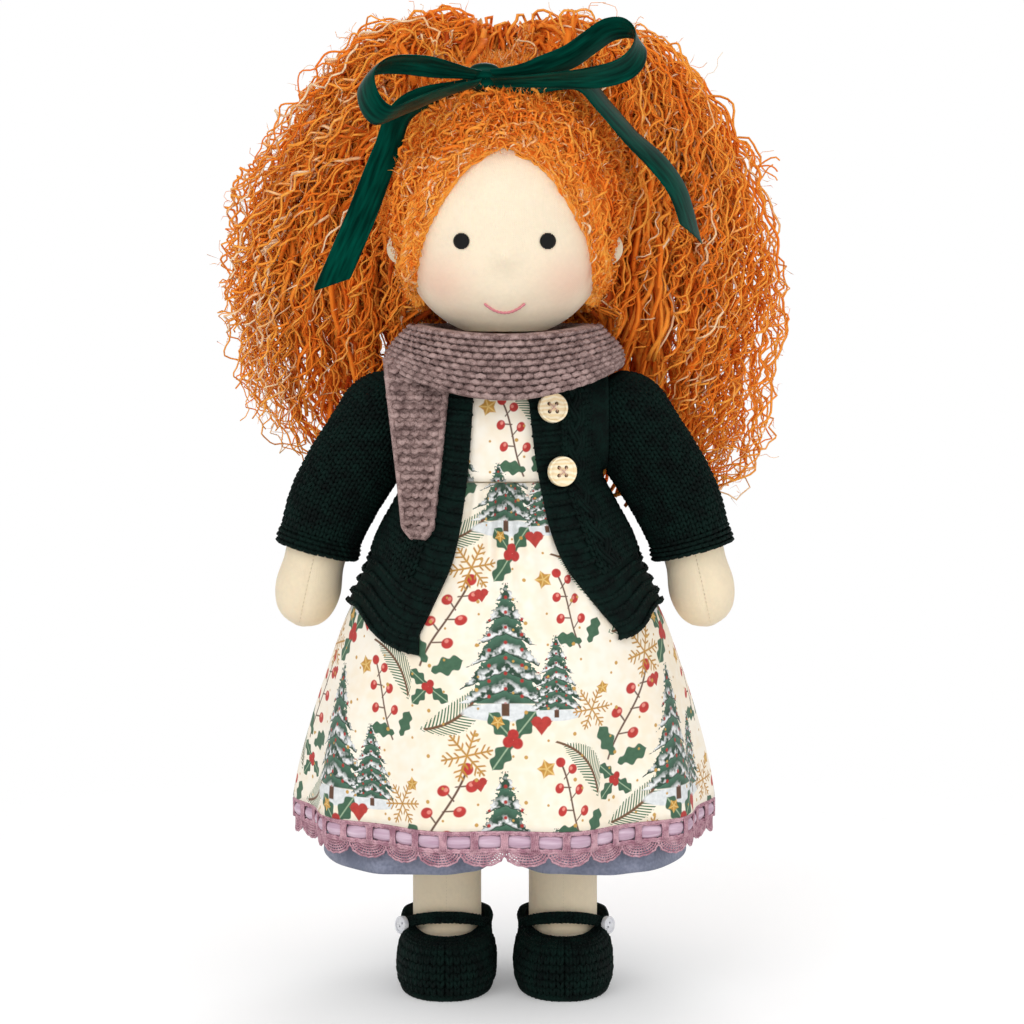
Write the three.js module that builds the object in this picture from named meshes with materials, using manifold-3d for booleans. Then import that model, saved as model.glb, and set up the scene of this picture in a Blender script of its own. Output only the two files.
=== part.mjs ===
// A dressed rag doll about 400 mm tall: a stuffed jersey body with sewn arms and legs, a boucle yarn wig tied up
// with a satin ribbon, a gathered dress with threaded lace, bloomers, an open cardigan, a scarf and strap shoes.
// Millimetres, +Z up. The doll looks along -Y, and its own left side is +X. The soles stand on Z = 0.
import * as THREE from "three";
import { mergeVertices } from "three/addons/utils/BufferGeometryUtils.js";
import Module from "manifold-3d";

const wasm = await Module();
wasm.setup();

// Clearances and cloth
const seamGap = 0.3; // between pieces that touch
const layerGap = 0.6; // between one garment and the next
const swingGap = 0.9; // between pieces that turn past each other
const cutOverrun = 300; // how far a cutting tool runs past what it cuts
const mergeDistance = 0.0005;
const cottonThickness = 1.2;
const knitThickness = 3.4;
const ribbonThickness = 0.8;

// Head
const headCentreHeight = 316;
const headHalfWidth = 43.5;
const headHalfDepth = 42.5;
const headHalfHeight = 50;
const noseHalfWidth = 4.2;
const noseHalfHeight = 4.6;
const noseReach = 1.6;
const noseDrop = 17.5;
const eyeRadius = 3.1;
const eyeBulge = 1;
const eyeSpacing = 34;
const eyeDrop = 11.5;
const mouthWidth = 16;
const mouthDrop = 36.2;
const mouthSag = 3.6;
const mouthThread = 1.5;
const earHalfHeight = 7.2;
const earHalfDepth = 3.4;
const earReach = 4;
const earDrop = 14;
const neckRadius = 14.5;
const neckTop = 268;

// Wig
const capThickness = 4.4;
const crownRise = 5;
const hairlineWidth = 72;
const hairlineHeight = 335.4;
const napeHeight = 277;
const earNotchTop = 311;
const earNotchHalf = 9;
const hairTop = 398.5;
const hairReach = 117.5;
const hairBack = 61;
const leftHairEnd = 191;
const rightHairEnd = 209;
const backHairEnd = 216;
const backHairHalfWidth = 34;
const crownHairBase = 352;

// Hair ribbon
const ribbonWidth = 13;
const knotHalfWidth = 6.5;
const knotHalfDepth = 5.2;
const knotHalfHeight = 5.6;
const knotX = -8;
const knotY = -28;
const knotHeight = 369;
const leftLoopReach = 48;
const rightLoopReach = 62;
const loopHeight = 20;
const loopLean = THREE.MathUtils.degToRad(17); // the loops' front edges tip down
const leftTailReach = 61;
const leftTailDrop = 82;
const rightTailReach = 80;
const rightTailDrop = 62;

// Torso and shoulders
const hipHeight = 138;
const torsoTop = 257;
const torsoHalfWidth = 36;
const torsoHalfDepth = 29;
const shoulderHeight = 232;
const shoulderStubRadius = 11;
const shoulderPlane = 42.2; // where the arm and sleeve meet the body

// Arms
const armRootX = 50;
const armBendX = 72;
const armBendHeight = 195;
const handTipX = 84.5;
const handTipHeight = 147.5;
const armTopRadius = 15.3;
const armBendRadius = 14.6;
const wristRadius = 12.4;
const handRadius = 13.5;
const cuffLength = 8;
const cuffRise = 0.9;
const backSwing = THREE.MathUtils.degToRad(10);

// Legs and feet
const legSpacing = 48;
const legRadius = 14.2;
const hipSeamHalfWidth = 12;
const hipSeamHalfThickness = 1.1;
const hipSeamGap = 0.8;
const legTaper = 21;
const footHalfWidth = 15;
const footHeight = 19;
const footToe = 37;
const footHeel = 19;

// Shoes
const soleThickness = 3.4;
const shoeWall = 3.7;
const collarHeight = 28;
const throatHalfWidth = 12;
const throatHalfLength = 10.5;
const throatSetback = 13.5;
const strapWidth = 5;
const strapThickness = 2.4;
const strapHeight = 30.6;
const strapDip = 8;
const shoeButtonRadius = 3.5;
const shoeButtonThickness = 2.2;

// Dress
const waistHeight = 209;
const bodiceTop = 252;
const hemHeight = 77;
const hemHalfWidth = 84.6;
const hemHalfDepth = 77.5;
const foldDepth = 2.6;
const foldCount = 10;
const laceDrop = 12.4;
const laceThickness = 2.4;
const laceBarThickness = 1;
const laceBarWidth = 3.4;
const laceRailWidth = 1.7;
const scallopDepth = 3.2;
const scallopCount = 31;
const beadingCount = 45; // windows that the ribbon shows through
const beadingRibbonWidth = 6.2;
const beadingRibbonThickness = 0.6;

// Bloomers
const bloomerHem = 56;
const bloomerCrotch = 124;
const bloomerTop = 197;
const bloomerHalfWidth = 33;
const bloomerHalfDepth = 60;
const bloomerInset = 6.5;
const bloomerCrotchInset = 1.8;

// Cardigan and its buttons
const cardiganTop = 255;
const cardiganSideHem = 161;
const cardiganPoint = 151;
const cardiganBackHem = 157;
const leftEdgeTop = 9.5;
const leftEdgeHem = 47;
const rightEdgeTop = 13;
const rightEdgeHem = 35;
const buttonRadius = 6;
const buttonThickness = 2.6;
const buttonRim = 1.3;
const buttonDish = 0.6;
const buttonHoleRadius = 0.8;
const buttonHoleSpacing = 3.2;
const upperButtonHeight = 238;
const lowerButtonHeight = 213;
const buttonInset = 7.5;

// Scarf
const scarfTop = 271;
const scarfFrontDip = 3;
const scarfSideHem = 254;
const scarfFrontHem = 242;
const scarfBackHem = 249;
const scarfTopHalfWidth = 38;
const scarfTopHalfDepth = 34;
const scarfHemHalfWidth = 48;
const scarfHemHalfDepth = 45;
const scarfBackHalfDepth = 37;
const scarfTailThickness = 4.5;
const scarfTailTopWidth = 22;
const scarfTailEndWidth = 9;
const scarfTailTopX = -29;
const scarfTailEndX = -33;
const scarfTailTop = 256;
const scarfTailEnd = 188;

const vec = (x, y, z) => new THREE.Vector3(x, y, z);
const { lerp, clamp } = THREE.MathUtils;
const smooth = (t) => THREE.MathUtils.smoothstep(t, 0, 1);
const turn = 2 * Math.PI;
const evenSteps = (count) => Array.from({ length: count + 1 }, (_, i) => i / count);

// A smooth curve through a table of rows that start with a place share.
function shareCurve(table, column = 1) {
  const slopeAt = (i) => {
    const a = table[Math.max(i - 1, 0)];
    const b = table[Math.min(i + 1, table.length - 1)];
    return (b[column] - a[column]) / (b[0] - a[0]);
  };
  return (share) => {
    const s = clamp(share, table[0][0], table.at(-1)[0]);
    const i = Math.max(1, table.findIndex((row, k) => k > 0 && s <= row[0]));
    const span = table[i][0] - table[i - 1][0];
    const t = (s - table[i - 1][0]) / span;
    const bulge = t * (1 - t) * span * ((1 - t) * slopeAt(i - 1) - t * slopeAt(i));
    return lerp(table[i - 1][column], table[i][column], t * t * (3 - 2 * t)) + bulge;
  };
}

// A point on an oval squared up by a power, 2 for an ellipse.
function ovalPoint(w, d, angle, power) {
  const c = Math.cos(angle);
  const s = Math.sin(angle);
  return [w * Math.sign(c) * Math.abs(c) ** (2 / power), d * Math.sign(s) * Math.abs(s) ** (2 / power)];
}

// One ring of points in a level plane. The side towards x = 0 may have a power of its own.
function ovalRing(w, d, z, { count = 20, power = 2, innerPower = power, x = 0, y = 0, wave = () => 0 } = {}) {
  return Array.from({ length: count }, (_, i) => {
    const angle = (i / count) * turn;
    const inward = Math.cos(angle) * x < 0;
    const [px, py] = ovalPoint(w + wave(angle), d + wave(angle), angle, inward ? innerPower : power);
    return vec(x + px, y + py, z);
  });
}

// A closed surface over a list of rings. A loop joins the last ring to the first. Otherwise each end is closed by
// a fan, or by a strip where the ring runs out along one face of a sheet and back along the other.
function wrap(rings, { loop = false, strip = false } = {}) {
  const n = rings[0].length;
  const points = rings.flat();
  const faces = [];
  const steps = loop ? rings.length : rings.length - 1;
  for (let r = 0; r < steps; r++) {
    const low = r * n;
    const high = ((r + 1) % rings.length) * n;
    for (let i = 0; i < n; i++) {
      const j = (i + 1) % n;
      faces.push(low + i, low + j, high + j, low + i, high + j, high + i);
    }
  }
  const ends = loop ? [] : [0, rings.length - 1];
  ends.forEach((r) => {
    const face = (a, b, c) => (r ? faces.push(a, b, c) : faces.push(a, c, b));
    if (strip) {
      for (let i = 0; i < n / 2 - 1; i++) {
        const back = r * n + n - 1 - i;
        face(r * n + i, r * n + i + 1, back);
        face(r * n + i + 1, back - 1, back);
      }
      return;
    }
    points.push(rings[r].reduce((sum, p) => sum.add(p), vec(0, 0, 0)).divideScalar(n));
    for (let i = 0; i < n; i++) face(r * n + i, r * n + ((i + 1) % n), points.length - 1);
  });
  const geometry = new THREE.BufferGeometry().setFromPoints(points);
  geometry.setIndex(faces);
  return geometry;
}

// A closed geometry as a solid with its faces pointing out.
function solid(geometry) {
  const bare = new THREE.BufferGeometry();
  bare.setAttribute("position", geometry.getAttribute("position"));
  bare.setIndex(geometry.index);
  const merged = mergeVertices(bare, mergeDistance);
  const index = merged.index.array;
  const position = merged.getAttribute("position");
  const corner = (i) => vec(0, 0, 0).fromBufferAttribute(position, i);
  const triangles = [];
  let volume = 0;
  for (let i = 0; i < index.length; i += 3) {
    const [a, b, c] = index.slice(i, i + 3);
    if (a === b || b === c || a === c) continue;
    triangles.push(a, b, c);
    volume += corner(a).dot(corner(b).cross(corner(c)));
  }
  if (volume < 0) triangles.reverse();
  const mesh = { numProp: 3, vertProperties: position.array, triVerts: new Uint32Array(triangles) };
  return new wasm.Manifold(new wasm.Mesh(mesh));
}

const skin = (rings, options) => solid(wrap(rings, options));

// A hollow tube: the outer rings one way and the inner rings back.
const tube = (outer, inner) => skin([...outer, ...[...inner].reverse()], { loop: true });

// A thick sheet from two grids of points, outer[row][column] and inner[row][column].
const sheet = (outer, inner) => skin(outer.map((row, r) => [...row, ...[...inner[r]].reverse()]), { strip: true });

// A surface swept along places, each with a point, a direction across, and a section of [across, through] pairs.
function sweep(places) {
  const last = places.length - 1;
  return wrap(
    places.map(({ at, wide, section }, i) => {
      const along = places[Math.min(i + 1, last)].at.clone().sub(places[Math.max(i - 1, 0)].at).normalize();
      const across = wide.clone().addScaledVector(along, -wide.dot(along)).normalize();
      const through = along.clone().cross(across);
      return section.map(([a, b]) => at.clone().addScaledVector(across, a).addScaledVector(through, b));
    }),
  );
}

const flatSection = (width, thickness) => [
  [-width / 2, -thickness / 2],
  [width / 2, -thickness / 2],
  [width / 2, thickness / 2],
  [-width / 2, thickness / 2],
];

const roundSection = (radius, count) =>
  Array.from({ length: count }, (_, i) => {
    const angle = (i / count) * turn;
    return [radius * Math.cos(angle), radius * Math.sin(angle)];
  });

function box(low, high) {
  const size = high.clone().sub(low);
  const middle = low.clone().add(high).divideScalar(2);
  return solid(new THREE.BoxGeometry(size.x, size.y, size.z).translate(middle.x, middle.y, middle.z));
}

const ballSurface = (halfX, halfY, halfZ, centre, count = 10) =>
  new THREE.SphereGeometry(1, count, Math.round(count * 0.6))
    .rotateX(Math.PI / 2)
    .scale(halfX, halfY, halfZ)
    .translate(centre.x, centre.y, centre.z);

const ball = (...sizes) => solid(ballSurface(...sizes));

const keepAbove = (shape, z) =>
  shape.subtract(box(vec(-cutOverrun, -cutOverrun, z - cutOverrun * 2), vec(cutOverrun, cutOverrun, z)));

const keepBelow = (shape, z) =>
  shape.subtract(box(vec(-cutOverrun, -cutOverrun, z), vec(cutOverrun, cutOverrun, z + cutOverrun * 2)));

// Keeps what lies beyond x on the given side of the doll, 1 for its left and -1 for its right.
function keepBeyond(shape, x, side) {
  const ends = [side * x, side * (x - cutOverrun * 2)].sort((a, b) => a - b);
  return shape.subtract(box(vec(ends[0], -cutOverrun, -cutOverrun), vec(ends[1], cutOverrun, cutOverrun * 2)));
}

const doll = new THREE.Group();

function add(name, shape, color, roughness = 0.9) {
  const mesh = shape.getMesh();
  const stride = mesh.numProp;
  const position = new Float32Array(mesh.numVert * 3);
  for (let i = 0; i < mesh.numVert; i++) {
    position.set(mesh.vertProperties.subarray(i * stride, i * stride + 3), i * 3);
  }
  const indexed = new THREE.BufferGeometry();
  indexed.setAttribute("position", new THREE.BufferAttribute(position, 3));
  indexed.setIndex(new THREE.BufferAttribute(new Uint32Array(mesh.triVerts), 1));
  const geometry = indexed.toNonIndexed();
  geometry.computeVertexNormals();
  const piece = new THREE.Mesh(geometry, new THREE.MeshStandardMaterial({ color, roughness, metalness: 0 }));
  piece.name = name;
  doll.add(piece);
}

// Colours
const skinCream = 0xf0dfc0;
const wigOrange = 0xc8641c;
const knitGreen = 0x0c2622;
const satinGreen = 0x0a4a40;
const scarfMauve = 0x8d7878;
const dressCream = 0xf4e7d2;
const laceMauve = 0xb98a98;
const satinPink = 0xcdb0c4;
const bloomerBlue = 0x8a91a6;
const boxwood = 0xe3bf85;
const pearl = 0xeeeef4;
const eyeBlack = 0x0b0a0a;
const mouthPink = 0xdd7f86;

// The head's level sections: an ellipse above its middle, and fuller cheeks below it.
const cheekPower = 2.25;
const headRows = 13;
const headColumns = 20;
const poleShare = 0.01; // the smallest ring's place on the way round from pole to pole

function headAt(z, grow, rise) {
  const up = z >= headCentreHeight;
  const share = Math.abs(z - headCentreHeight) / (headHalfHeight + grow + (up ? rise : 0));
  const power = up ? 2 : cheekPower;
  const swell = Math.max(0, 1 - share ** power) ** (1 / power);
  return { w: (headHalfWidth + grow) * swell, d: (headHalfDepth + grow) * swell };
}

function headForm(grow = 0, rise = 0) {
  const rings = evenSteps(headRows).map((t) => {
    const climb = -Math.cos(lerp(poleShare, 1 - poleShare, t) * Math.PI);
    const z = headCentreHeight + climb * (headHalfHeight + grow + (climb > 0 ? rise : 0));
    const { w, d } = headAt(z, grow, rise);
    return ovalRing(w, d, z, { count: headColumns });
  });
  return skin(rings);
}

// How far forward of the Z axis the face lies at x and z.
function faceY(x, z, grow = 0) {
  const { w, d } = headAt(z, grow, 0);
  return -d * Math.sqrt(Math.max(0, 1 - (x / w) ** 2));
}

function head() {
  const height = headCentreHeight - noseDrop;
  const centre = vec(0, faceY(0, height) + noseHalfWidth - noseReach, height);
  const nose = ball(noseHalfWidth, noseHalfWidth, noseHalfHeight, centre, 10);
  add("head", keepAbove(headForm().add(nose), neckTop + seamGap), skinCream);
}

function earForm(side, grow) {
  const z = headCentreHeight - earDrop;
  const x = headAt(z, 0, 0).w + earReach - earHalfHeight;
  return ball(earHalfHeight + grow, earHalfDepth + grow, earHalfHeight + grow, vec(side * x, 0, z), 10);
}

function face() {
  const eyeHeight = headCentreHeight - eyeDrop;
  const clear = headForm(seamGap);
  [1, -1].forEach((side) => {
    const name = side > 0 ? "left" : "right";
    const x = (side * eyeSpacing) / 2;
    const deep = eyeRadius / 2;
    const eye = ball(eyeRadius, eyeBulge + deep, eyeRadius, vec(x, faceY(x, eyeHeight) + deep, eyeHeight));
    add(`eye_${name}`, eye.subtract(clear), eyeBlack, 0.5);
    add(`ear_${name}`, earForm(side, 0).subtract(clear), skinCream);
  });
  const places = evenSteps(8).map((t) => {
    const x = (t - 0.5) * mouthWidth;
    const z = headCentreHeight - mouthDrop - mouthSag * (1 - (2 * t - 1) ** 2);
    const y = faceY(x, z, seamGap + mouthThread / 3);
    return { at: vec(x, y, z), wide: vec(0, 0, 1), section: roundSection(mouthThread / 2, 6) };
  });
  add("mouth", solid(sweep(places)).subtract(clear), mouthPink, 0.6);
}

// The hairline seen from the front, as shares of half its width and of its height above the nape line.
const hairlineShares = [
  [1, -0.6],
  [1, 0.12],
  [0.93, 0.42],
  [0.71, 0.68],
  [0.36, 0.91],
  [0, 1],
];

const capForm = (grow = 0) => headForm(capThickness + grow, crownRise);

function hairCap() {
  const outline = hairlineShares.map(
    ([x, z]) => new THREE.Vector2((x * hairlineWidth) / 2, lerp(napeHeight, hairlineHeight, z)),
  );
  const mirrored = outline.slice(0, -1).reverse().map((p) => new THREE.Vector2(-p.x, p.y));
  const shape = new THREE.Shape([...outline, ...mirrored]);
  const opening = new THREE.ExtrudeGeometry(shape, { depth: cutOverrun, bevelEnabled: false });
  const low = vec(-cutOverrun, -earNotchHalf, napeHeight - cutOverrun);
  const notch = box(low, vec(cutOverrun, earNotchHalf, earNotchTop));
  const cap = capForm().subtract(headForm(seamGap)).subtract(solid(opening.rotateX(Math.PI / 2))).subtract(notch);
  add("hair_cap", keepAbove(cap, napeHeight), wigOrange, 1);
}

// The loose hair: rows of height share, half-width share, and front and back as shares of how far back it reaches.
const hairPower = 2.3;
const hairRows = 12;
const hairShares = [
  [0, 0.68, 0.56, 0.74],
  [0.07, 0.83, 0.5, 0.84],
  [0.15, 0.9, 0.46, 0.9],
  [0.28, 0.96, 0.4, 0.95],
  [0.35, 0.98, 0.3, 0.98],
  [0.43, 1, 0.2, 1],
  [0.5, 1, 0.14, 1],
  [0.58, 0.98, 0.07, 0.97],
  [0.67, 0.94, 0, 0.92],
  [0.77, 0.87, -0.08, 0.83],
  [0.86, 0.76, -0.13, 0.71],
  [0.93, 0.62, -0.1, 0.54],
  [0.975, 0.45, 0, 0.42],
  [1, 0.2, 0.1, 0.3],
];
const hairWidthShare = shareCurve(hairShares, 1);
const hairFrontShare = shareCurve(hairShares, 2);
const hairBackShare = shareCurve(hairShares, 3);

function hairForm(bottom) {
  const rings = evenSteps(hairRows).map((t) => {
    const share = (1 - Math.cos(t * Math.PI)) / 2;
    const front = hairFrontShare(share) * hairBack;
    const back = hairBackShare(share) * hairBack;
    const depth = { y: (front + back) / 2, power: hairPower };
    return ovalRing(hairWidthShare(share) * hairReach, (back - front) / 2, lerp(bottom, hairTop, share), depth);
  });
  return skin(rings);
}

function hair() {
  const clear = [capForm(seamGap), headForm(seamGap), scarfForm(seamGap), cardiganForm(seamGap)];
  [1, -1].forEach((side) => {
    clear.push(sleeveForm(side, knitThickness + swingGap, 0));
    clear.push(sleeveForm(side, knitThickness + swingGap, backSwing));
    clear.push(earForm(side, layerGap));
  });
  const trim = (shape) => clear.reduce((left, tool) => left.subtract(tool), shape);
  const split = backHairHalfWidth - seamGap / 2;
  const middle = keepBeyond(keepBeyond(hairForm(backHairEnd), -split, 1), -split, -1);
  add("hair_bunch_left", trim(keepBeyond(hairForm(leftHairEnd), split + seamGap, 1)), wigOrange, 1);
  add("hair_bunch_right", trim(keepBeyond(hairForm(rightHairEnd), split + seamGap, -1)), wigOrange, 1);
  add("hair_crown", trim(keepAbove(middle, crownHairBase + seamGap)), wigOrange, 1);
  add("hair_back", trim(keepBelow(middle, crownHairBase)), wigOrange, 1);
}

// The bow: each strip of ribbon runs through shares of its own reach and height, measured from the knot.
const leftLoopShares = [
  [0.05, 0.05],
  [0.4, 0.24],
  [0.75, 0.26],
  [1, -0.05],
  [0.92, -0.5],
  [0.7, -0.62],
  [0.4, -0.42],
  [0.05, -0.18],
];
const rightLoopShares = [
  [0.05, 0.05],
  [0.4, 0.3],
  [0.68, 0.85],
  [0.88, 1],
  [1, 0.62],
  [0.92, 0.1],
  [0.72, -0.12],
  [0.4, -0.1],
  [0.05, -0.18],
];
const leftTailShares = [
  [0.06, 0.02],
  [0.5, 0.14],
  [0.64, 0.36],
  [0.8, 0.66],
  [1, 1],
];
const rightTailShares = [
  [0.04, 0.02],
  [0.42, 0.06],
  [0.56, 0.24],
  [0.76, 0.55],
  [1, 1],
];

function hairRibbon() {
  const knotForm = (grow) =>
    ball(knotHalfWidth + grow, knotHalfDepth + grow, knotHalfHeight + grow, vec(knotX, knotY, knotHeight));
  const wig = capForm(seamGap);
  add("hair_ribbon_knot", knotForm(0).subtract(wig), satinGreen, 0.4);

  const strip = (name, shares, reach, height, y, wide, section) => {
    const points = shares.map(([x, z]) => vec(knotX + x * reach, y, knotHeight + z * height));
    const places = new THREE.CatmullRomCurve3(points).getPoints(points.length * 2);
    const shape = solid(sweep(places.map((at) => ({ at, wide, section }))));
    add(`hair_ribbon_${name}`, shape.subtract(knotForm(seamGap)).subtract(wig), satinGreen, 0.4);
  };
  const loopY = knotY - knotHalfDepth;
  const tailY = knotY + knotHalfDepth / 2;
  const slanted = [vec(0, Math.cos(loopLean), Math.sin(loopLean)), flatSection(ribbonWidth, ribbonThickness)];
  const facing = [vec(0, 1, 0), flatSection(ribbonThickness, ribbonWidth)];
  strip("loop_left", leftLoopShares, -leftLoopReach, loopHeight, loopY, ...slanted);
  strip("loop_right", rightLoopShares, rightLoopReach, loopHeight, loopY, ...slanted);
  strip("tail_left", leftTailShares, -leftTailReach, -leftTailDrop, tailY, ...facing);
  strip("tail_right", rightTailShares, rightTailReach, -rightTailDrop, tailY, ...facing);
}

// Shares of the torso's half-width and half-depth, by share of the height from the hip seam to the shoulders.
const torsoPower = 2.3;
const torsoShares = [
  [0, 1, 0.72],
  [0.06, 1, 0.95],
  [0.23, 1, 1],
  [0.44, 0.98, 0.98],
  [0.6, 0.965, 0.95],
  [0.79, 1, 0.93],
  [0.88, 0.96, 0.86],
  [0.94, 0.84, 0.78],
  [0.975, 0.7, 0.66],
  [1, 0.52, 0.54],
];
const torsoWidthShare = shareCurve(torsoShares, 1);
const torsoDepthShare = shareCurve(torsoShares, 2);

function torsoAt(z, grow = 0) {
  const share = (z - hipHeight) / (torsoTop - hipHeight);
  return { w: torsoHalfWidth * torsoWidthShare(share) + grow, d: torsoHalfDepth * torsoDepthShare(share) + grow };
}

function torsoRing(z, grow) {
  const { w, d } = torsoAt(z, grow);
  return ovalRing(w, d, z, { power: torsoPower });
}

const neckBase = torsoTop - torsoHalfDepth / 2;
const neckForm = (grow, top) => skin([neckBase, top].map((z) => ovalRing(neckRadius + grow, neckRadius + grow, z)));

const shoulderBore = (radius, reach) =>
  solid(
    new THREE.CylinderGeometry(radius, radius, reach * 2, 14).rotateZ(Math.PI / 2).translate(0, 0, shoulderHeight),
  );

const trunkForm = (grow) => skin(torsoShares.map(([share]) => torsoRing(lerp(hipHeight, torsoTop, share), grow)));

function torso() {
  const trunk = trunkForm(0);
  const shoulders = shoulderBore(shoulderStubRadius, shoulderPlane - seamGap);
  add("torso", trunk.add(neckForm(0, neckTop)).add(shoulders), skinCream);
}

// The arm's axis from the shoulder hinge to the tip of the hand.
const armCurve = (side) =>
  new THREE.CatmullRomCurve3([
    vec(side * armRootX, 0, shoulderHeight),
    vec(side * armBendX, 0, armBendHeight),
    vec(side * handTipX, 0, handTipHeight),
  ]);

// Arm radii by share of the axis.
const armColumns = 12;
const armRadius = shareCurve([
  [0, armTopRadius],
  [0.45, armBendRadius],
  [0.72, wristRadius],
  [0.84, handRadius],
  [0.93, handRadius * 0.84],
  [0.98, handRadius * 0.52],
  [1, handRadius * 0.14],
]);

// A limb's solid about its axis, with a ball at the shoulder, swung back by an angle about the shoulder hinge.
function limb(side, shares, radiusAt, swing = 0) {
  const curve = armCurve(side);
  const root = radiusAt(0);
  const places = shares.map((share) => ({
    at: curve.getPoint(share),
    wide: vec(0, 1, 0),
    section: roundSection(radiusAt(share), armColumns),
  }));
  const swung = (geometry) =>
    solid(geometry.translate(0, 0, -shoulderHeight).rotateX(swing).translate(0, 0, shoulderHeight));
  const ends = vec(side * armRootX, 0, shoulderHeight);
  return swung(ballSurface(root, root, root, ends, armColumns)).add(swung(sweep(places)));
}

function arm(side, name) {
  const stepShares = [0, 0.2, 0.45, 0.6, 0.72, 0.78, 0.84, 0.89, 0.93, 0.98, 1];
  add(`arm_${name}`, keepBeyond(limb(side, stepShares, armRadius), shoulderPlane, side), skinCream);
}

const cuffShare = 0.68; // of the way down the arm
const cuffStepShare = 0.015; // half the length over which the sleeve steps out to its cuff
const sleeveBoreShare = 0.1; // how far the cut for the arm runs on past the cuff

function sleeveForm(side, grow, swing = 0, extraShare = 0) {
  const cuffStart = cuffShare - cuffLength / armCurve(side).getLength();
  const steps = [cuffStart - cuffStepShare, cuffStart + cuffStepShare];
  const stepShares = [0, 0.14, 0.28, 0.42, ...steps, cuffShare + extraShare];
  const radiusAt = (share) =>
    armRadius(Math.min(share, cuffShare)) + layerGap + grow + (share > cuffStart ? cuffRise : 0);
  return limb(side, stepShares, radiusAt, swing);
}

function sleeve(side, name) {
  const knit = sleeveForm(side, knitThickness).subtract(sleeveForm(side, 0, 0, sleeveBoreShare));
  add(`sleeve_${name}`, keepBeyond(knit, shoulderPlane, side), knitGreen, 1);
}

// The dress's surface: the bodice follows the torso, and the skirt flares from the waist to the hem.
// Each row holds a height share, then the flare's share at the sides and at the front.
const flareShares = [
  [0, 1, 1],
  [0.11, 0.95, 0.95],
  [0.3, 0.83, 0.82],
  [0.45, 0.71, 0.71],
  [0.553, 0.61, 0.64],
  [0.636, 0.5, 0.56],
  [0.742, 0.35, 0.44],
  [0.833, 0.25, 0.33],
  [0.932, 0.1, 0.14],
  [1, 0, 0],
];
const flareWidthShare = shareCurve(flareShares, 1);
const flareDepthShare = shareCurve(flareShares, 2);
const foldEndShare = 0.53; // the folds have died away by here, below the cardigan
const skirtShare = (z) => (z - hemHeight) / (waistHeight - hemHeight);
const dressPower = (z) => lerp(torsoPower, 2, smooth((1 - skirtShare(z)) / (1 - foldEndShare)));

function dressAt(z, grow = 0) {
  const cloth = layerGap + cottonThickness;
  if (z >= waistHeight) return torsoAt(z, cloth + grow);
  const waist = torsoAt(waistHeight, cloth);
  return {
    w: lerp(waist.w, hemHalfWidth, flareWidthShare(skirtShare(z))) + grow,
    d: lerp(waist.d, hemHalfDepth, flareDepthShare(skirtShare(z))) + grow,
  };
}

// A ring of the skirt with its gathered folds, a whole number of points to each fold.
function skirtRing(z, grow) {
  const depth = foldDepth * (1 - smooth(skirtShare(z) / foldEndShare));
  const { w, d } = dressAt(z, grow);
  const wave = (angle) => depth * Math.cos(foldCount * angle);
  return ovalRing(w, d, z, { count: foldCount * 4, power: dressPower(z), wave });
}

const skirtShares = [0, 0.16, 0.36, 0.55, 0.74, 0.9, 1];
const bodiceShares = [0, 0.28, 0.53, 0.75, 0.9, 1];
const skirtLevels = skirtShares.map((share) => lerp(hemHeight, waistHeight - seamGap, share));
const bodiceLevels = bodiceShares.map((share) => lerp(waistHeight, bodiceTop, share));
const skirtRings = (grow) => skirtLevels.map((z) => skirtRing(z, grow));
const bodiceRings = (grow) => bodiceLevels.map((z) => torsoRing(z, layerGap + cottonThickness + grow));

function dress() {
  add("dress_skirt", tube(skirtRings(0), skirtRings(-cottonThickness)), dressCream);
  const bodice = tube(bodiceRings(0), bodiceRings(-cottonThickness));
  add("dress_bodice", bodice.subtract(shoulderBore(shoulderStubRadius + layerGap, cutOverrun)), dressCream);
}

// A point below the faceted hem's outer surface, some way inside it.
function hemPoint(angle, inside, down) {
  const ring = skirtRing(hemHeight, -inside);
  const place = (angle / turn) * ring.length;
  const start = Math.floor(place);
  const point = ring[start % ring.length].clone().lerp(ring[(start + 1) % ring.length], place - start);
  return point.setZ(hemHeight - seamGap - down);
}

// A band along the hem between two depths below it and between two distances inside its surface.
function hemBand(count, top, bottomAt, outside, inside) {
  const rings = Array.from({ length: count }, (_, i) => {
    const angle = (i / count) * turn;
    const bottom = bottomAt(angle);
    return [
      hemPoint(angle, outside, top),
      hemPoint(angle, outside, bottom),
      hemPoint(angle, inside, bottom),
      hemPoint(angle, inside, top),
    ];
  });
  return skin(rings, { loop: true });
}

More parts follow.
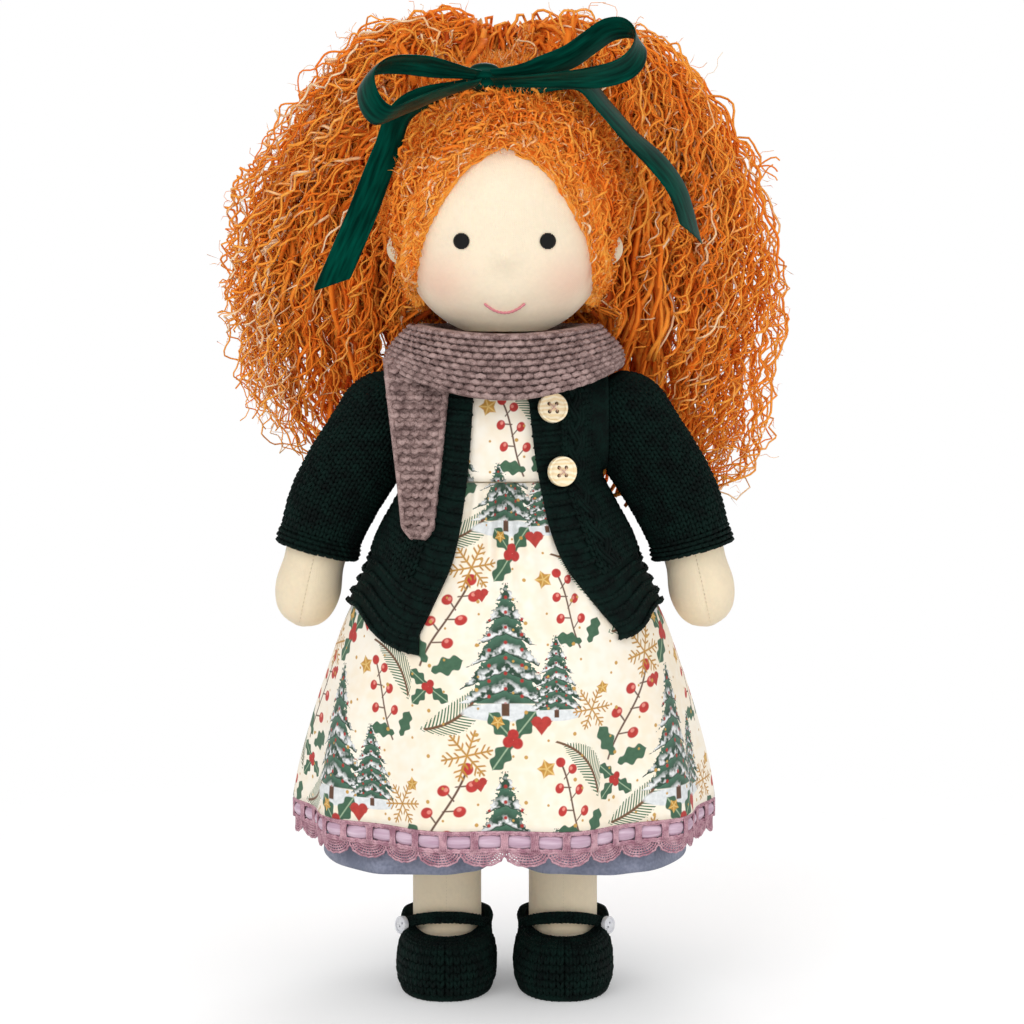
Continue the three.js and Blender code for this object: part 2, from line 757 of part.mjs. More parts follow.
function lace() {
  const windowTop = laceRailWidth;
  const windowHeight = beadingRibbonWidth + seamGap * 2;
  const scallop = (angle) => laceDrop - scallopDepth * (1 - Math.abs(Math.sin((scallopCount * angle) / 2)));
  const rail = hemBand(foldCount * 4, 0, () => windowTop, 0, laceThickness);
  const edging = hemBand(scallopCount * 2, windowTop + windowHeight, scallop, 0, laceThickness);
  const barSize = [laceBarWidth, laceBarThickness, windowHeight + laceRailWidth];
  const bars = Array.from({ length: beadingCount }, (_, i) => {
    const angle = ((i + 0.5) / beadingCount) * turn;
    const [middle, ahead] = [angle, angle + turn / beadingCount / 8].map((place) =>
      hemPoint(place, laceBarThickness / 2, windowTop + windowHeight / 2),
    );
    const bar = new THREE.BoxGeometry(...barSize).rotateZ(Math.atan2(ahead.y - middle.y, ahead.x - middle.x));
    return solid(bar.translate(middle.x, middle.y, middle.z));
  });
  add("lace_trim", bars.reduce((trim, bar) => trim.add(bar), rail.add(edging)), laceMauve);

  const ribbonTop = windowTop + seamGap;
  const outside = laceBarThickness + seamGap;
  const inside = outside + beadingRibbonThickness;
  const ribbon = hemBand(foldCount * 4, ribbonTop, () => ribbonTop + beadingRibbonWidth, outside, inside);
  add("lace_ribbon", ribbon, satinPink, 0.4);
}

// The bloomers: two wide legs below a seat. Each row holds a height share between the hem and the crotch, then the
// half-width and half-depth as shares of those at the hem.
const bloomerLegShares = [
  [0, 1, 1],
  [0.35, 0.98, 0.96],
  [0.65, 0.94, 0.89],
  [1, 0.86, 0.79],
  [1.2, 0.76, 0.72],
];

const bloomerInnerPower = 4; // the legs are squarer on the side where they face each other

function bloomerForm(slack, overrun) {
  const innerPower = bloomerInnerPower;
  const legs = [1, -1].map((side) => {
    const rings = bloomerLegShares.map(([share, width, depth], i) => {
      const w = bloomerHalfWidth * width;
      const z = lerp(bloomerHem, bloomerCrotch, share) - (i === 0 ? overrun : 0);
      const x = side * (lerp(bloomerInset, bloomerCrotchInset, clamp(share, 0, 1)) + w);
      return ovalRing(w + slack, bloomerHalfDepth * depth + slack, z, { x, innerPower, count: 18 });
    });
    return skin(rings);
  });
  const seat = evenSteps(4).map((t) => {
    const z = lerp(bloomerCrotch + cottonThickness * 2, bloomerTop, t);
    const ease = bloomerInset * 2 * smooth((bloomerTop - z) / (bloomerTop - bloomerCrotch));
    const { w, d } = torsoAt(z, layerGap + cottonThickness + slack + ease);
    return ovalRing(w, d, z + (t === 1 ? overrun : 0), { power: torsoPower });
  });
  return legs[0].add(legs[1]).add(skin(seat));
}

function bloomers() {
  const shape = bloomerForm(0, 0).subtract(bloomerForm(-cottonThickness, knitThickness));
  add("bloomers", shape, bloomerBlue);
}

// Feet: rows of height share and swell share.
const footPower = 2.3;
const footSpread = 0.8; // how far the foot's length follows its swell
const footShares = [
  [0, 0.9],
  [0.2, 1],
  [0.5, 1],
  [0.75, 0.88],
  [0.92, 0.62],
  [1, 0.38],
];

function footForm(side, grow, base, top) {
  const place = { x: (side * legSpacing) / 2, y: (footHeel - footToe) / 2, power: footPower, count: 16 };
  const rings = footShares.map(([share, swell]) => {
    const length = ((footHeel + footToe) / 2 + grow) * lerp(1, swell, footSpread);
    return ovalRing((footHalfWidth + grow) * swell, length, lerp(base, top, share), place);
  });
  return skin(rings);
}

// Legs: flattened to the hip seam at the top and round below.
const hipFillPower = 0.75;

function legForm(side, grow, levels) {
  const top = hipHeight - hipSeamGap;
  const rings = levels.map((z) => {
    const drop = clamp((top - z) / legTaper, 0, 1);
    const w = lerp(hipSeamHalfWidth, legRadius, smooth(drop)) + grow;
    const d = lerp(hipSeamHalfThickness, legRadius, drop ** hipFillPower) + grow;
    return ovalRing(w, d, z, { x: (side * legSpacing) / 2, count: 14 });
  });
  return skin(rings);
}

const ankleHeight = soleThickness + footHeight / 2;
const footTop = soleThickness + footHeight;

function leg(side, name) {
  const top = hipHeight - hipSeamGap;
  const taperShares = [1, 0.6, 0.3, 0.12, 0.03, 0];
  const levels = taperShares.map((share) => top - legTaper * share);
  const shank = legForm(side, 0, [ankleHeight, ...levels]);
  add(`leg_${name}`, shank.add(footForm(side, 0, soleThickness + seamGap, footTop)), skinCream);
}

// The strap: shares of its rise at which it is all in against the ankle and at which it is all up.
const strapInShares = [0.25, 0.85];
const strapUpShare = 0.4;
const strapInnerDipShare = 0.5;
const shoeButtonShares = [
  [0, 0],
  [0.8, 0],
  [1, 0.4],
  [0.85, 1],
  [0, 0.8],
];

function shoe(side, name) {
  const x = (side * legSpacing) / 2;
  const outside = layerGap + shoeWall;
  const upper = footForm(side, outside, 0, footTop + outside);
  const collar = legForm(side, outside, [ankleHeight, collarHeight]);
  const front = box(vec(-cutOverrun, -cutOverrun, footTop + outside), vec(cutOverrun, -shoeWall, cutOverrun));
  const throatRing = (z) =>
    ovalRing(throatHalfWidth, throatHalfLength, z, { x, y: -throatSetback, count: 14 });
  const throat = skin([throatRing(footTop - shoeWall), throatRing(cutOverrun)]);
  const foot = footForm(side, layerGap, soleThickness, footTop + layerGap);
  const shank = legForm(side, layerGap, [ankleHeight, hipHeight / 2]);
  const shape = [front, throat, foot, shank].reduce((left, tool) => left.subtract(tool), upper.add(collar));
  add(`shoe_${name}`, shape, knitGreen, 1);

  const ends = legRadius + outside + seamGap + strapThickness / 2;
  const middle = legRadius + layerGap + strapThickness / 2;
  const section = flatSection(strapWidth, strapThickness);
  const places = evenSteps(14).map((t) => {
    const angle = t * Math.PI;
    const rise = Math.sin(angle);
    const reach = lerp(ends, middle, THREE.MathUtils.smoothstep(rise, ...strapInShares));
    const dip = strapDip * (t < 1 / 2 ? 1 : strapInnerDipShare);
    const z = strapHeight - dip * (1 - smooth(rise / strapUpShare));
    const at = vec(x + side * reach * Math.cos(angle), -reach * Math.sin(angle), z);
    return { at, wide: vec(0, 0, 1), section };
  });
  const upperClear = footForm(side, outside + seamGap, 0, footTop + outside + seamGap);
  const collarClear = legForm(side, outside + seamGap, [ankleHeight, collarHeight + seamGap]);
  add(`shoe_strap_${name}`, solid(sweep(places)).subtract(upperClear).subtract(collarClear), knitGreen, 1);

  const profile = shoeButtonShares.map(
    ([r, t]) => new THREE.Vector2(r * shoeButtonRadius, t * shoeButtonThickness),
  );
  const button = new THREE.LatheGeometry(profile, 10).rotateZ((-Math.PI / 2) * side);
  const seat = ends + strapThickness / 2 + seamGap;
  button.translate(x + side * seat, -strapWidth / 2, strapHeight - strapDip);
  add(`shoe_button_${name}`, solid(button), pearl, 0.3);
}

// The cardigan: worn over the dress, open down the front, with a point at the bottom of each front.
// Each front edge moves away from the middle line by a share of the height above the point.
const edgeShare = shareCurve([
  [0, 1],
  [0.09, 0.78],
  [0.29, 0.36],
  [0.58, 0.13],
  [0.87, 0.02],
  [1, 0],
]);

const cardiganAt = (z, grow) => dressAt(z, layerGap + knitThickness + grow);

// The knit's rows stand at the dress's own levels, so that their facets run alongside each other.
const knitLevels = (hem) => {
  const inner = [...skirtLevels.slice(0, -1), ...bodiceLevels].filter((z) => z > cardiganSideHem && z < cardiganTop);
  return [hem, (hem + inner[0]) / 2, ...inner, cardiganTop];
};

function cardiganForm(grow) {
  const rings = [...knitLevels(cardiganPoint), torsoTop + grow].map((z) => {
    const { w, d } = cardiganAt(z, grow);
    return ovalRing(w, d, z, { power: dressPower(z), count: 24 });
  });
  return skin(rings);
}

// The front edge's distance from the middle line at a height, on the doll's left (side 1) or right.
function edgeX(side, z) {
  const share = edgeShare((z - cardiganPoint) / (cardiganTop - cardiganPoint));
  return side > 0 ? lerp(leftEdgeTop, leftEdgeHem, share) : lerp(rightEdgeTop, rightEdgeHem, share);
}

// One knitted panel between two edges, each an angle for every height.
function knitPanel(startAt, endAt, hemAt, columns) {
  const grid = (grow) =>
    knitLevels(0).map((_, row) =>
      evenSteps(columns).map((u) => {
        const z = knitLevels(hemAt(u))[row];
        const { w, d } = cardiganAt(z, grow);
        return vec(...ovalPoint(w, d, lerp(startAt(z), endAt(z), u), dressPower(z)), z);
      }),
    );
  const armhole = shoulderBore(shoulderStubRadius + layerGap, cutOverrun);
  return sheet(grid(0), grid(-knitThickness)).subtract(armhole);
}

const seamAngle = (z) => seamGap / 2 / cardiganAt(z, -knitThickness).d;
const hemRunShare = 0.7; // the share of a front's hem that slopes up from the point

function cardigan() {
  const back = knitPanel(
    (z) => seamAngle(z),
    (z) => Math.PI - seamAngle(z),
    (u) => lerp(cardiganSideHem, cardiganBackHem, smooth(1 - Math.abs(2 * u - 1))),
    12,
  );
  add("cardigan_back", back, knitGreen, 1);
  [1, -1].forEach((side) => {
    const edge = (z) => {
      const angle = Math.acos(Math.min(1, edgeX(side, z) / cardiganAt(z, 0).w) ** (dressPower(z) / 2));
      return side > 0 ? -angle : Math.PI + angle;
    };
    const seam = (z) => (side > 0 ? -seamAngle(z) : Math.PI + seamAngle(z));
    const front = knitPanel(edge, seam, (u) => lerp(cardiganPoint, cardiganSideHem, smooth(u / hemRunShare)), 7);
    add(`cardigan_front_${side > 0 ? "left" : "right"}`, front, knitGreen, 1);
  });
}

// A four-hole button lying on the left front of the cardigan.
const buttonEdgeShares = [0.4, 0.75]; // the height of the widest part of the button

function cardiganButton(name, z) {
  const x = edgeX(1, z) + buttonInset;
  const { w, d } = cardiganAt(z, 0);
  const surface = (level) => {
    const size = cardiganAt(level, 0);
    const power = dressPower(level);
    return -size.d * (1 - (x / size.w) ** power) ** (1 / power);
  };
  const [low, high] = [surface(z - buttonRadius), surface(z + buttonRadius)];
  const y = Math.min(surface(z), (low + high) / 2);
  const facing = Math.atan2(x / w ** 2, -y / d ** 2);
  const tilt = Math.atan2(low - high, buttonRadius * 2);
  const lift = seamGap;
  const placed = (geometry) =>
    solid(
      geometry
        .rotateX(Math.PI + tilt)
        .rotateZ(facing)
        .translate(x + lift * Math.sin(facing), y - lift * Math.cos(facing), z),
    );
  const rimInner = buttonRadius - buttonRim;
  const profile = [
    [0, 0],
    [rimInner, 0],
    ...buttonEdgeShares.map((share) => [buttonRadius, buttonThickness * share]),
    [buttonRadius - buttonRim / 3, buttonThickness],
    [rimInner, buttonThickness],
    [rimInner - buttonRim / 3, buttonThickness - buttonDish],
    [0, buttonThickness - buttonDish],
  ].map(([r, t]) => new THREE.Vector2(r, t));
  const hole = (a, b) =>
    placed(
      new THREE.CylinderGeometry(buttonHoleRadius, buttonHoleRadius, buttonThickness * 3, 6).translate(
        (a * buttonHoleSpacing) / 2,
        0,
        (b * buttonHoleSpacing) / 2,
      ),
    );
  const holes = [hole(1, 1), hole(1, -1), hole(-1, 1), hole(-1, -1)];
  const disc = placed(new THREE.LatheGeometry(profile, 12));
  add(name, holes.reduce((left, tool) => left.subtract(tool), disc), boxwood, 0.5);
}

// The scarf: a thick cowl resting on the shoulders, with one tapering end hanging down the doll's right front.
// Each row holds a height share from the lower edge to the upper one, and how far it spreads from the upper one.
const cowlShares = [
  [0, 0.85],
  [0.12, 1],
  [0.45, 0.86],
  [0.8, 0.34],
  [1, 0],
];

function scarfForm(grow = 0) {
  const rings = cowlShares.map(([share, spreadShare]) =>
    evenSteps(24).slice(1).map((t) => {
      const angle = t * turn;
      const s = Math.sin(angle);
      const front = s < 0 ? s ** 2 : 0;
      const back = s > 0 ? s ** 2 : 0;
      const hem = scarfSideHem + (scarfFrontHem - scarfSideHem) * front + (scarfBackHem - scarfSideHem) * back;
      const hemDepth = s > 0 ? scarfBackHalfDepth : scarfHemHalfDepth;
      const w = lerp(scarfTopHalfWidth, scarfHemHalfWidth, spreadShare) + grow;
      const d = lerp(scarfTopHalfDepth, hemDepth, spreadShare) + grow;
      const z = lerp(hem - grow, scarfTop - scarfFrontDip * front + grow, share);
      return vec(w * Math.cos(angle), d * s, z);
    }),
  );
  return skin(rings);
}

const tailWrapShare = 0.12; // the least depth that the tail keeps round the shoulder

function scarf() {
  const clear = [headForm(seamGap), cardiganForm(layerGap), neckForm(layerGap, cutOverrun)];
  [1, -1].forEach((side) => clear.push(sleeveForm(side, knitThickness + swingGap)));
  add("scarf_wrap", clear.reduce((left, tool) => left.subtract(tool), scarfForm()), scarfMauve, 1);

  const grid = (proud) =>
    evenSteps(8).map((t) =>
      evenSteps(3).map((u) => {
        const z = lerp(scarfTailTop, scarfTailEnd, t);
        const x = lerp(scarfTailTopX, scarfTailEndX, t) + (u - 0.5) * lerp(scarfTailTopWidth, scarfTailEndWidth, t);
        const { w, d } = cardiganAt(z, proud);
        return vec(x, -d * Math.sqrt(Math.max(tailWrapShare, 1 - (x / w) ** 2)), z);
      }),
    );
  const tail = sheet(grid(layerGap + scarfTailThickness), grid(-cottonThickness));
  const under = [cardiganForm(layerGap), scarfForm(seamGap)];
  add("scarf_tail", under.reduce((left, tool) => left.subtract(tool), tail), scarfMauve, 1);
}

head();
face();
hairCap();
hair();
hairRibbon();
torso();
[1, -1].forEach((side) => {
  const name = side > 0 ? "left" : "right";
  arm(side, name);
  sleeve(side, name);
  leg(side, name);
  shoe(side, name);
});
dress();
lace();
bloomers();
cardigan();
cardiganButton("cardigan_button_upper", upperButtonHeight);
cardiganButton("cardigan_button_lower", lowerButtonHeight);
scarf();

export default doll;
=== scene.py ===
"""A rag doll about 400 mm tall: yarn wig, satin bow, printed dress with lace, knitted cardigan and scarf."""

import math

import bmesh
import bpy
import numpy as np
from mathutils import Matrix, Vector


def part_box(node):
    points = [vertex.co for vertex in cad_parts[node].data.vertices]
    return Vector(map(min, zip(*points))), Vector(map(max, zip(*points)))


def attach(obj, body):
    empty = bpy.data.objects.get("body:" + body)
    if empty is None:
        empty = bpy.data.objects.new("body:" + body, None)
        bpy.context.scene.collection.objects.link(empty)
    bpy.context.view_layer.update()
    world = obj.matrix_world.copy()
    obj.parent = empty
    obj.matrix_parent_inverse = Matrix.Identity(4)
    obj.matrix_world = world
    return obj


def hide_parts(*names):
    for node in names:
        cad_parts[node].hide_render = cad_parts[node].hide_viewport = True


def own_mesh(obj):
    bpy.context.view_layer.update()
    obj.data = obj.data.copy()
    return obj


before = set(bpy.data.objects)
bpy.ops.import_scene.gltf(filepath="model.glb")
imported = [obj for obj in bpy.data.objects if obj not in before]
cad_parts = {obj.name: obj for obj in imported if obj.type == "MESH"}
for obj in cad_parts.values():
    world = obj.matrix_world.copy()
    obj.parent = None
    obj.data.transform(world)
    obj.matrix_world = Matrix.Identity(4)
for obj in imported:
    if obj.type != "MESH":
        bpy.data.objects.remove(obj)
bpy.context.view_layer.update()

bl_info = {
    "name": "Rag doll",
    "version": (1, 0, 0),
    "blender": (4, 5, 0),
    "location": "View3D > Sidebar > Doll",
    "description": "Models a dressed rag doll with a yarn wig, a printed dress and a knitted cardigan",
    "category": "Add Mesh",
}

MM = 0.001  # the tables and sizes below are in millimetres
SIDES = {"left": 1, "right": -1}  # the doll's own left is +X

# Cloth and clearances
LAYER_GAP = 0.6
COTTON = 1.2
KNIT = 3.4
KNIT_BACKING = 1.7  # the solid cloth behind the stitches

# Head and wig
HEAD_CENTRE = 316.0
HEAD_HALF = (43.5, 42.5, 50.0)
CHEEK_POWER = 2.25
NECK_TOP = 268.3
NOSE_Z = 298.5
EYE_X = 17.0
EYE_Z = 304.5
EYE_RADIUS = 3.1
MOUTH_Z = 279.8
MOUTH_WIDTH = 16.0
MOUTH_SAG = 3.6
CHEEK_X = 26.5
CHEEK_Z = 288.5
EAR_Z = 302.0
EAR_RADIUS = 7.2
EAR_DEPTH = 3.4
EAR_REACH = 5.8
CAP_THICKNESS = 4.4
CROWN_RISE = 5.0
NAPE = 277.0
HAIR_TOP = 398.5
HAIR_REACH = 117.5
HAIR_BACK = 61.0
HAIR_ENDS = {"left": 191.0, "right": 209.0, "back": 216.0}
HAIR_POWER = 2.3
HAIRLINE_TOP = 341.0
HAIRLINE_HALF = 36.0

# Body
HIP = 138.0
TORSO_TOP = 257.0
TORSO_HALF = (36.0, 29.0)
TORSO_POWER = 2.3
SHOULDER = 232.0
SHOULDER_PLANE = 42.2
ARM_PATH = [(50.0, SHOULDER), (72.0, 195.0), (84.5, 147.5)]
ARMHOLE = 11.9
LEG_X = 24.0
LEG_RADIUS = 14.2
FOOT_HALF = 15.0
FOOT_TOE = 37.0
FOOT_HEEL = 19.0
FOOT_HEIGHT = 19.0
FOOT_POWER = 2.3
SOLE = 3.4
SHOE_WALL = 3.7

# Dress, lace and bloomers
WAIST = 209.0
BODICE_TOP = 252.0
HEM = 77.0
HEM_HALF = (84.6, 77.5)
FOLDS = 10
FOLD_DEPTH = 2.6
SCALLOPS = 31
LACE_BARS = 45
BLOOMER_HEM = 56.0
BLOOMER_CROTCH = 124.0
BLOOMER_TOP = 197.0
BLOOMER_HALF = (33.0, 60.0)

# Cardigan and scarf
CARDIGAN_TOP = 255.0
CARDIGAN_SIDE_HEM = 161.0
CARDIGAN_POINT = 151.0
CARDIGAN_BACK_HEM = 157.0
SCARF_TOP = 271.0

TORSO_SHARES = [
    [0, 1, 0.72],
    [0.06, 1, 0.95],
    [0.23, 1, 1],
    [0.44, 0.98, 0.98],
    [0.6, 0.965, 0.95],
    [0.79, 1, 0.93],
    [0.88, 0.96, 0.86],
    [0.94, 0.84, 0.78],
    [0.975, 0.7, 0.66],
    [1, 0.52, 0.54],
]
FLARE_SHARES = [
    [0, 1, 1],
    [0.11, 0.95, 0.95],
    [0.3, 0.83, 0.82],
    [0.45, 0.71, 0.71],
    [0.553, 0.61, 0.64],
    [0.636, 0.5, 0.56],
    [0.742, 0.35, 0.44],
    [0.833, 0.25, 0.33],
    [0.932, 0.1, 0.14],
    [1, 0, 0],
]
EDGE_SHARES = [[0, 1], [0.09, 0.78], [0.29, 0.36], [0.58, 0.13], [0.87, 0.02], [1, 0]]
ARM_RADII = [[0, 15.3], [0.45, 14.6], [0.72, 12.4], [0.84, 13.5], [0.93, 11.34], [0.98, 7.02], [1, 1.89]]
HAIR_SHARES = [
    [0, 0.68, 0.56, 0.74],
    [0.07, 0.83, 0.5, 0.84],
    [0.15, 0.9, 0.46, 0.9],
    [0.28, 0.96, 0.4, 0.95],
    [0.35, 0.98, 0.3, 0.98],
    [0.43, 1, 0.2, 1],
    [0.5, 1, 0.14, 1],
    [0.58, 0.98, 0.07, 0.97],
    [0.67, 0.94, 0, 0.92],
    [0.77, 0.87, -0.08, 0.83],
    [0.86, 0.76, -0.13, 0.71],
    [0.93, 0.62, -0.1, 0.54],
    [0.975, 0.45, 0, 0.42],
    [1, 0.2, 0.1, 0.3],
]
FOOT_SHARES = [[0, 0.9], [0.2, 1], [0.5, 1], [0.75, 0.88], [0.92, 0.62], [1, 0.38]]
COWL_SHARES = [[0, 0.85], [0.12, 1], [0.45, 0.86], [0.8, 0.34], [1, 0]]
BLOOMER_SHARES = [[0, 1, 1], [0.35, 0.98, 0.96], [0.65, 0.94, 0.89], [1, 0.86, 0.79], [1.2, 0.76, 0.72]]


def srgb(code):
    """A colour written as six hex digits, in the linear values that shaders take."""
    parts = [int(code[i : i + 2], 16) / 255 for i in (0, 2, 4)]
    return tuple(v / 12.92 if v <= 0.04045 else ((v + 0.055) / 1.055) ** 2.4 for v in parts)


def length(name, description, millimetres):
    return bpy.props.FloatProperty(
        name=name, description=description, default=millimetres * MM, min=0.0, precision=5, unit="LENGTH"
    )


def colour(name, description, code):
    return bpy.props.FloatVectorProperty(
        name=name, description=description, default=srgb(code), min=0.0, max=1.0, size=3, subtype="COLOR"
    )


class DollSizes(bpy.types.PropertyGroup):
    """The sizes of the doll's finishing work."""

    strand: length("Hair strand", "Radius of a strand of wig yarn", 0.6)
    curl: length("Curl", "How far the wig yarn's crimps reach to each side", 1.25)
    wave: length("Wave", "Length of one crimp of the wig yarn", 9.6)
    ribbon: length("Ribbon", "Width of the bow's satin ribbon", 12.0)
    yarn: length("Yarn", "Radius of the cardigan's yarn", 0.84)
    scarf_yarn: length("Scarf yarn", "Radius of the scarf's yarn", 1.25)
    gathers: length("Gathers", "Depth of the gathers below the waist seam", 1.5)
    print_scale: bpy.props.FloatProperty(
        name="Print", description="Size of the printed motifs", default=1.0, min=0.2
    )
    camera_distance: length("Camera distance", "From the camera to the middle of the doll", 1150.0)
    camera_rise: bpy.props.FloatProperty(
        name="Camera rise",
        description="How far the camera looks down",
        default=math.radians(5),
        unit="ROTATION",
    )


class DollColours(bpy.types.PropertyGroup):
    """The colours of the doll's cloth, yarn and trimmings."""

    skin: colour("Skin", "Cotton jersey of the head", "F6E6CB")
    limbs: colour("Limbs", "Cotton jersey of the body, arms and legs", "EEDDBE")
    blush: colour("Blush", "The rosy cheeks", "F0B29A")
    # Wig, deep is mostly painted shade in the depths of the hair, with a few darker strands; Wig, bright is
    # partly a painted highlight where yarn catches the light and partly the hairline's own paler yarn
    wig_deep: colour("Wig, deep", "Yarn in the depths of the hair", "C04A0E")
    wig: colour("Wig", "Most of the hair", "FB8422")
    wig_bright: colour("Wig, bright", "Yarn that catches the light, and the hairline", "FFAA42")
    wig_wisp: colour("Wig, wisps", "The palest stray hairs", "FDDFB8")
    satin_dark: colour("Bow, dark", "The bow's satin in shade", "011F19")
    satin: colour("Bow", "The bow's satin", "024A3C")
    knit_dark: colour("Cardigan, dark", "Dark flecks of the cardigan and shoes", "010807")
    knit: colour("Cardigan", "Wool of the cardigan and shoes", "061D18")
    scarf_dark: colour("Scarf, dark", "Dark flecks of the scarf", "77605D")
    scarf: colour("Scarf", "Wool of the scarf", "BBA09B")
    cotton_dark: colour("Dress, shaded", "The dress's ground in its faint blotches", "FAECD4")
    cotton: colour("Dress", "The dress's ground", "FEF6E7")
    lace_dark: colour("Lace, dark", "Dark flecks of the lace", "A37282")
    lace: colour("Lace", "Crochet cotton of the lace", "DAB0BA")
    pink_dark: colour("Threaded ribbon, dark", "Satin in the lace, in shade", "B998AC")
    pink: colour("Threaded ribbon", "Satin in the lace", "E2CBDA")
    linen_dark: colour("Bloomers, dark", "Dark threads of the bloomers", "70768A")
    linen: colour("Bloomers", "Fine cotton of the bloomers", "8B90A4")
    wood_dark: colour("Buttons, grain", "Grain of the wooden buttons", "F6DCAC")
    wood: colour("Buttons", "Wood of the buttons", "FFF0D0")
    pearl_dark: colour("Shoe buttons, clouds", "Clouds in the shoe buttons", "D5D8E4")
    pearl: colour("Shoe buttons", "The shoe buttons", "F8F7F4")
    eye: colour("Eyes", "Embroidery thread of the eyes", "0A0909")
    mouth: colour("Mouth", "Embroidery thread of the mouth", "EA959B")
    button_thread: colour("Button thread", "Thread that holds the buttons", "E3B9A8")
    seam_thread: colour("Seam thread", "Thread of the seams in the skin", "EFDDBE")


def sizes():
    return bpy.context.scene.doll_sizes


def colours():
    return bpy.context.scene.doll_colours


def lerp(a, b, t):
    return a + (b - a) * t


def smooth(t):
    t = np.clip(t, 0, 1)
    return t * t * (3 - 2 * t)


def circle(count):
    """Evenly spaced angles, once round."""
    return np.arange(count) / count * math.tau


def xyz(x, y, z):
    """Points from their coordinates, each a number, a row or a column of them."""
    return np.stack(np.broadcast_arrays(x, y, z), -1)


def spot(x, z, half_width, half_height):
    """A soft spot that is 1 in its middle and fades to 0 outside it."""
    return np.exp(-((x / half_width) ** 2 + (z / half_height) ** 2))


def share_curve(table, column=1):
    """A smooth curve through a table whose rows start with a place share."""
    place = np.array([row[0] for row in table], float)
    value = np.array([row[column] for row in table], float)
    index = np.arange(len(table))
    low, high = np.maximum(index - 1, 0), np.minimum(index + 1, len(table) - 1)
    slope = (value[high] - value[low]) / (place[high] - place[low])

    def curve(share):
        s = np.clip(share, place[0], place[-1])
        i = np.clip(np.searchsorted(place, s), 1, len(place) - 1)
        span = place[i] - place[i - 1]
        t = (s - place[i - 1]) / span
        bulge = t * (1 - t) * span * ((1 - t) * slope[i - 1] - t * slope[i])
        return lerp(value[i - 1], value[i], smooth(t)) + bulge

    return curve


torso_width, torso_depth = share_curve(TORSO_SHARES, 1), share_curve(TORSO_SHARES, 2)
flare_width, flare_depth = share_curve(FLARE_SHARES, 1), share_curve(FLARE_SHARES, 2)
edge_share = share_curve(EDGE_SHARES)
arm_radius = share_curve(ARM_RADII)
hair_width, hair_front, hair_rear = (share_curve(HAIR_SHARES, column) for column in (1, 2, 3))


def torso_at(z, grow=0.0):
    share = (z - HIP) / (TORSO_TOP - HIP)
    return TORSO_HALF[0] * torso_width(share) + grow, TORSO_HALF[1] * torso_depth(share) + grow


def skirt_share(z):
    return (z - HEM) / (WAIST - HEM)


def dress_at(z, grow=0.0):
    """Half-width and half-depth of the dress's outer surface at a height."""
    z = np.asarray(z, float)
    cloth = LAYER_GAP + COTTON
    upper = torso_at(z, cloth + grow)
    waist = torso_at(WAIST, cloth)
    share = skirt_share(z)
    lower = (
        lerp(waist[0], HEM_HALF[0], flare_width(share)) + grow,
        lerp(waist[1], HEM_HALF[1], flare_depth(share)) + grow,
    )
    return tuple(np.where(z >= WAIST, up, low) for up, low in zip(upper, lower))


def dress_power(z):
    return lerp(TORSO_POWER, 2.0, smooth((1 - skirt_share(np.asarray(z, float))) / 0.47))


def oval(w, d, angle, power=2.0):
    c, s = np.cos(angle), np.sin(angle)
    return w * np.sign(c) * np.abs(c) ** (2 / power), d * np.sign(s) * np.abs(s) ** (2 / power)


def dress_point(angle, z, grow=0.0):
    return xyz(*oval(*dress_at(z, grow), angle, dress_power(z)), z)


def cardigan_point(angle, z, grow=0.0):
    """A point of the cardigan's outer surface, grow millimetres further out."""
    return dress_point(angle, z, LAYER_GAP + KNIT + grow)


def edge_x(side, z):
    share = edge_share((z - CARDIGAN_POINT) / (CARDIGAN_TOP - CARDIGAN_POINT))
    return lerp(9.5, 47.0, share) if side > 0 else lerp(13.0, 35.0, share)


def head_at(z, grow=0.0, rise=0.0):
    """Half-width and half-depth of the head at a height."""
    z = np.asarray(z, float)
    up = z >= HEAD_CENTRE
    share = np.abs(z - HEAD_CENTRE) / (HEAD_HALF[2] + grow + np.where(up, rise, 0))
    power = np.where(up, 2.0, CHEEK_POWER)
    swell = np.maximum(0, 1 - np.minimum(share, 1) ** power) ** (1 / power)
    return (HEAD_HALF[0] + grow) * swell, (HEAD_HALF[1] + grow) * swell


def face_y(x, z, grow=0.0):
    w, d = head_at(z, grow)
    return -d * np.sqrt(np.maximum(0, 1 - (x / w) ** 2))


def unit(v):
    return v / np.maximum(np.linalg.norm(v, axis=-1, keepdims=True), 1e-9)


def catmull(points, count):
    """A smooth line through points, as count points."""
    points = np.array(points, float)
    ends = np.vstack([2 * points[0] - points[1], points, 2 * points[-1] - points[-2]])
    place = np.linspace(0, len(points) - 1, count)
    i = np.minimum(place.astype(int), len(points) - 2)
    t = (place - i)[:, None]
    a, b, c, d = (ends[i + k] for k in range(4))
    return 0.5 * (2 * b + (c - a) * t + (2 * a - 5 * b + 4 * c - d) * t**2 + (3 * b - a - 3 * c + d) * t**3)


def run_length(lines):
    """How far each point lies along its line, for one line or many."""
    step = np.linalg.norm(np.diff(lines, axis=-2), axis=-1)
    return np.concatenate([np.zeros((*step.shape[:-1], 1)), np.cumsum(step, -1)], -1)


def between(values, share):
    """Points read off a list of evenly spaced ones, at shares of its length."""
    place = np.linspace(0, 1, len(values))
    return np.stack([np.interp(share, place, values[:, k]) for k in range(3)], -1)


def frames(lines):
    """Directions along, across and through many lines at once, which turn as little as they can."""
    along = unit(np.gradient(lines, axis=1))
    seed = np.where(np.abs(along[:, 0, 2:3]) < 0.8, [[0, 0, 1.0]], [[0, 1.0, 0]])
    across = np.empty_like(lines)
    across[:, 0] = unit(np.cross(along[:, 0], seed))
    for j in range(1, lines.shape[1]):
        before = across[:, j - 1]
        across[:, j] = unit(before - np.sum(before * along[:, j], -1, keepdims=True) * along[:, j])
    return along, across, np.cross(along, across)


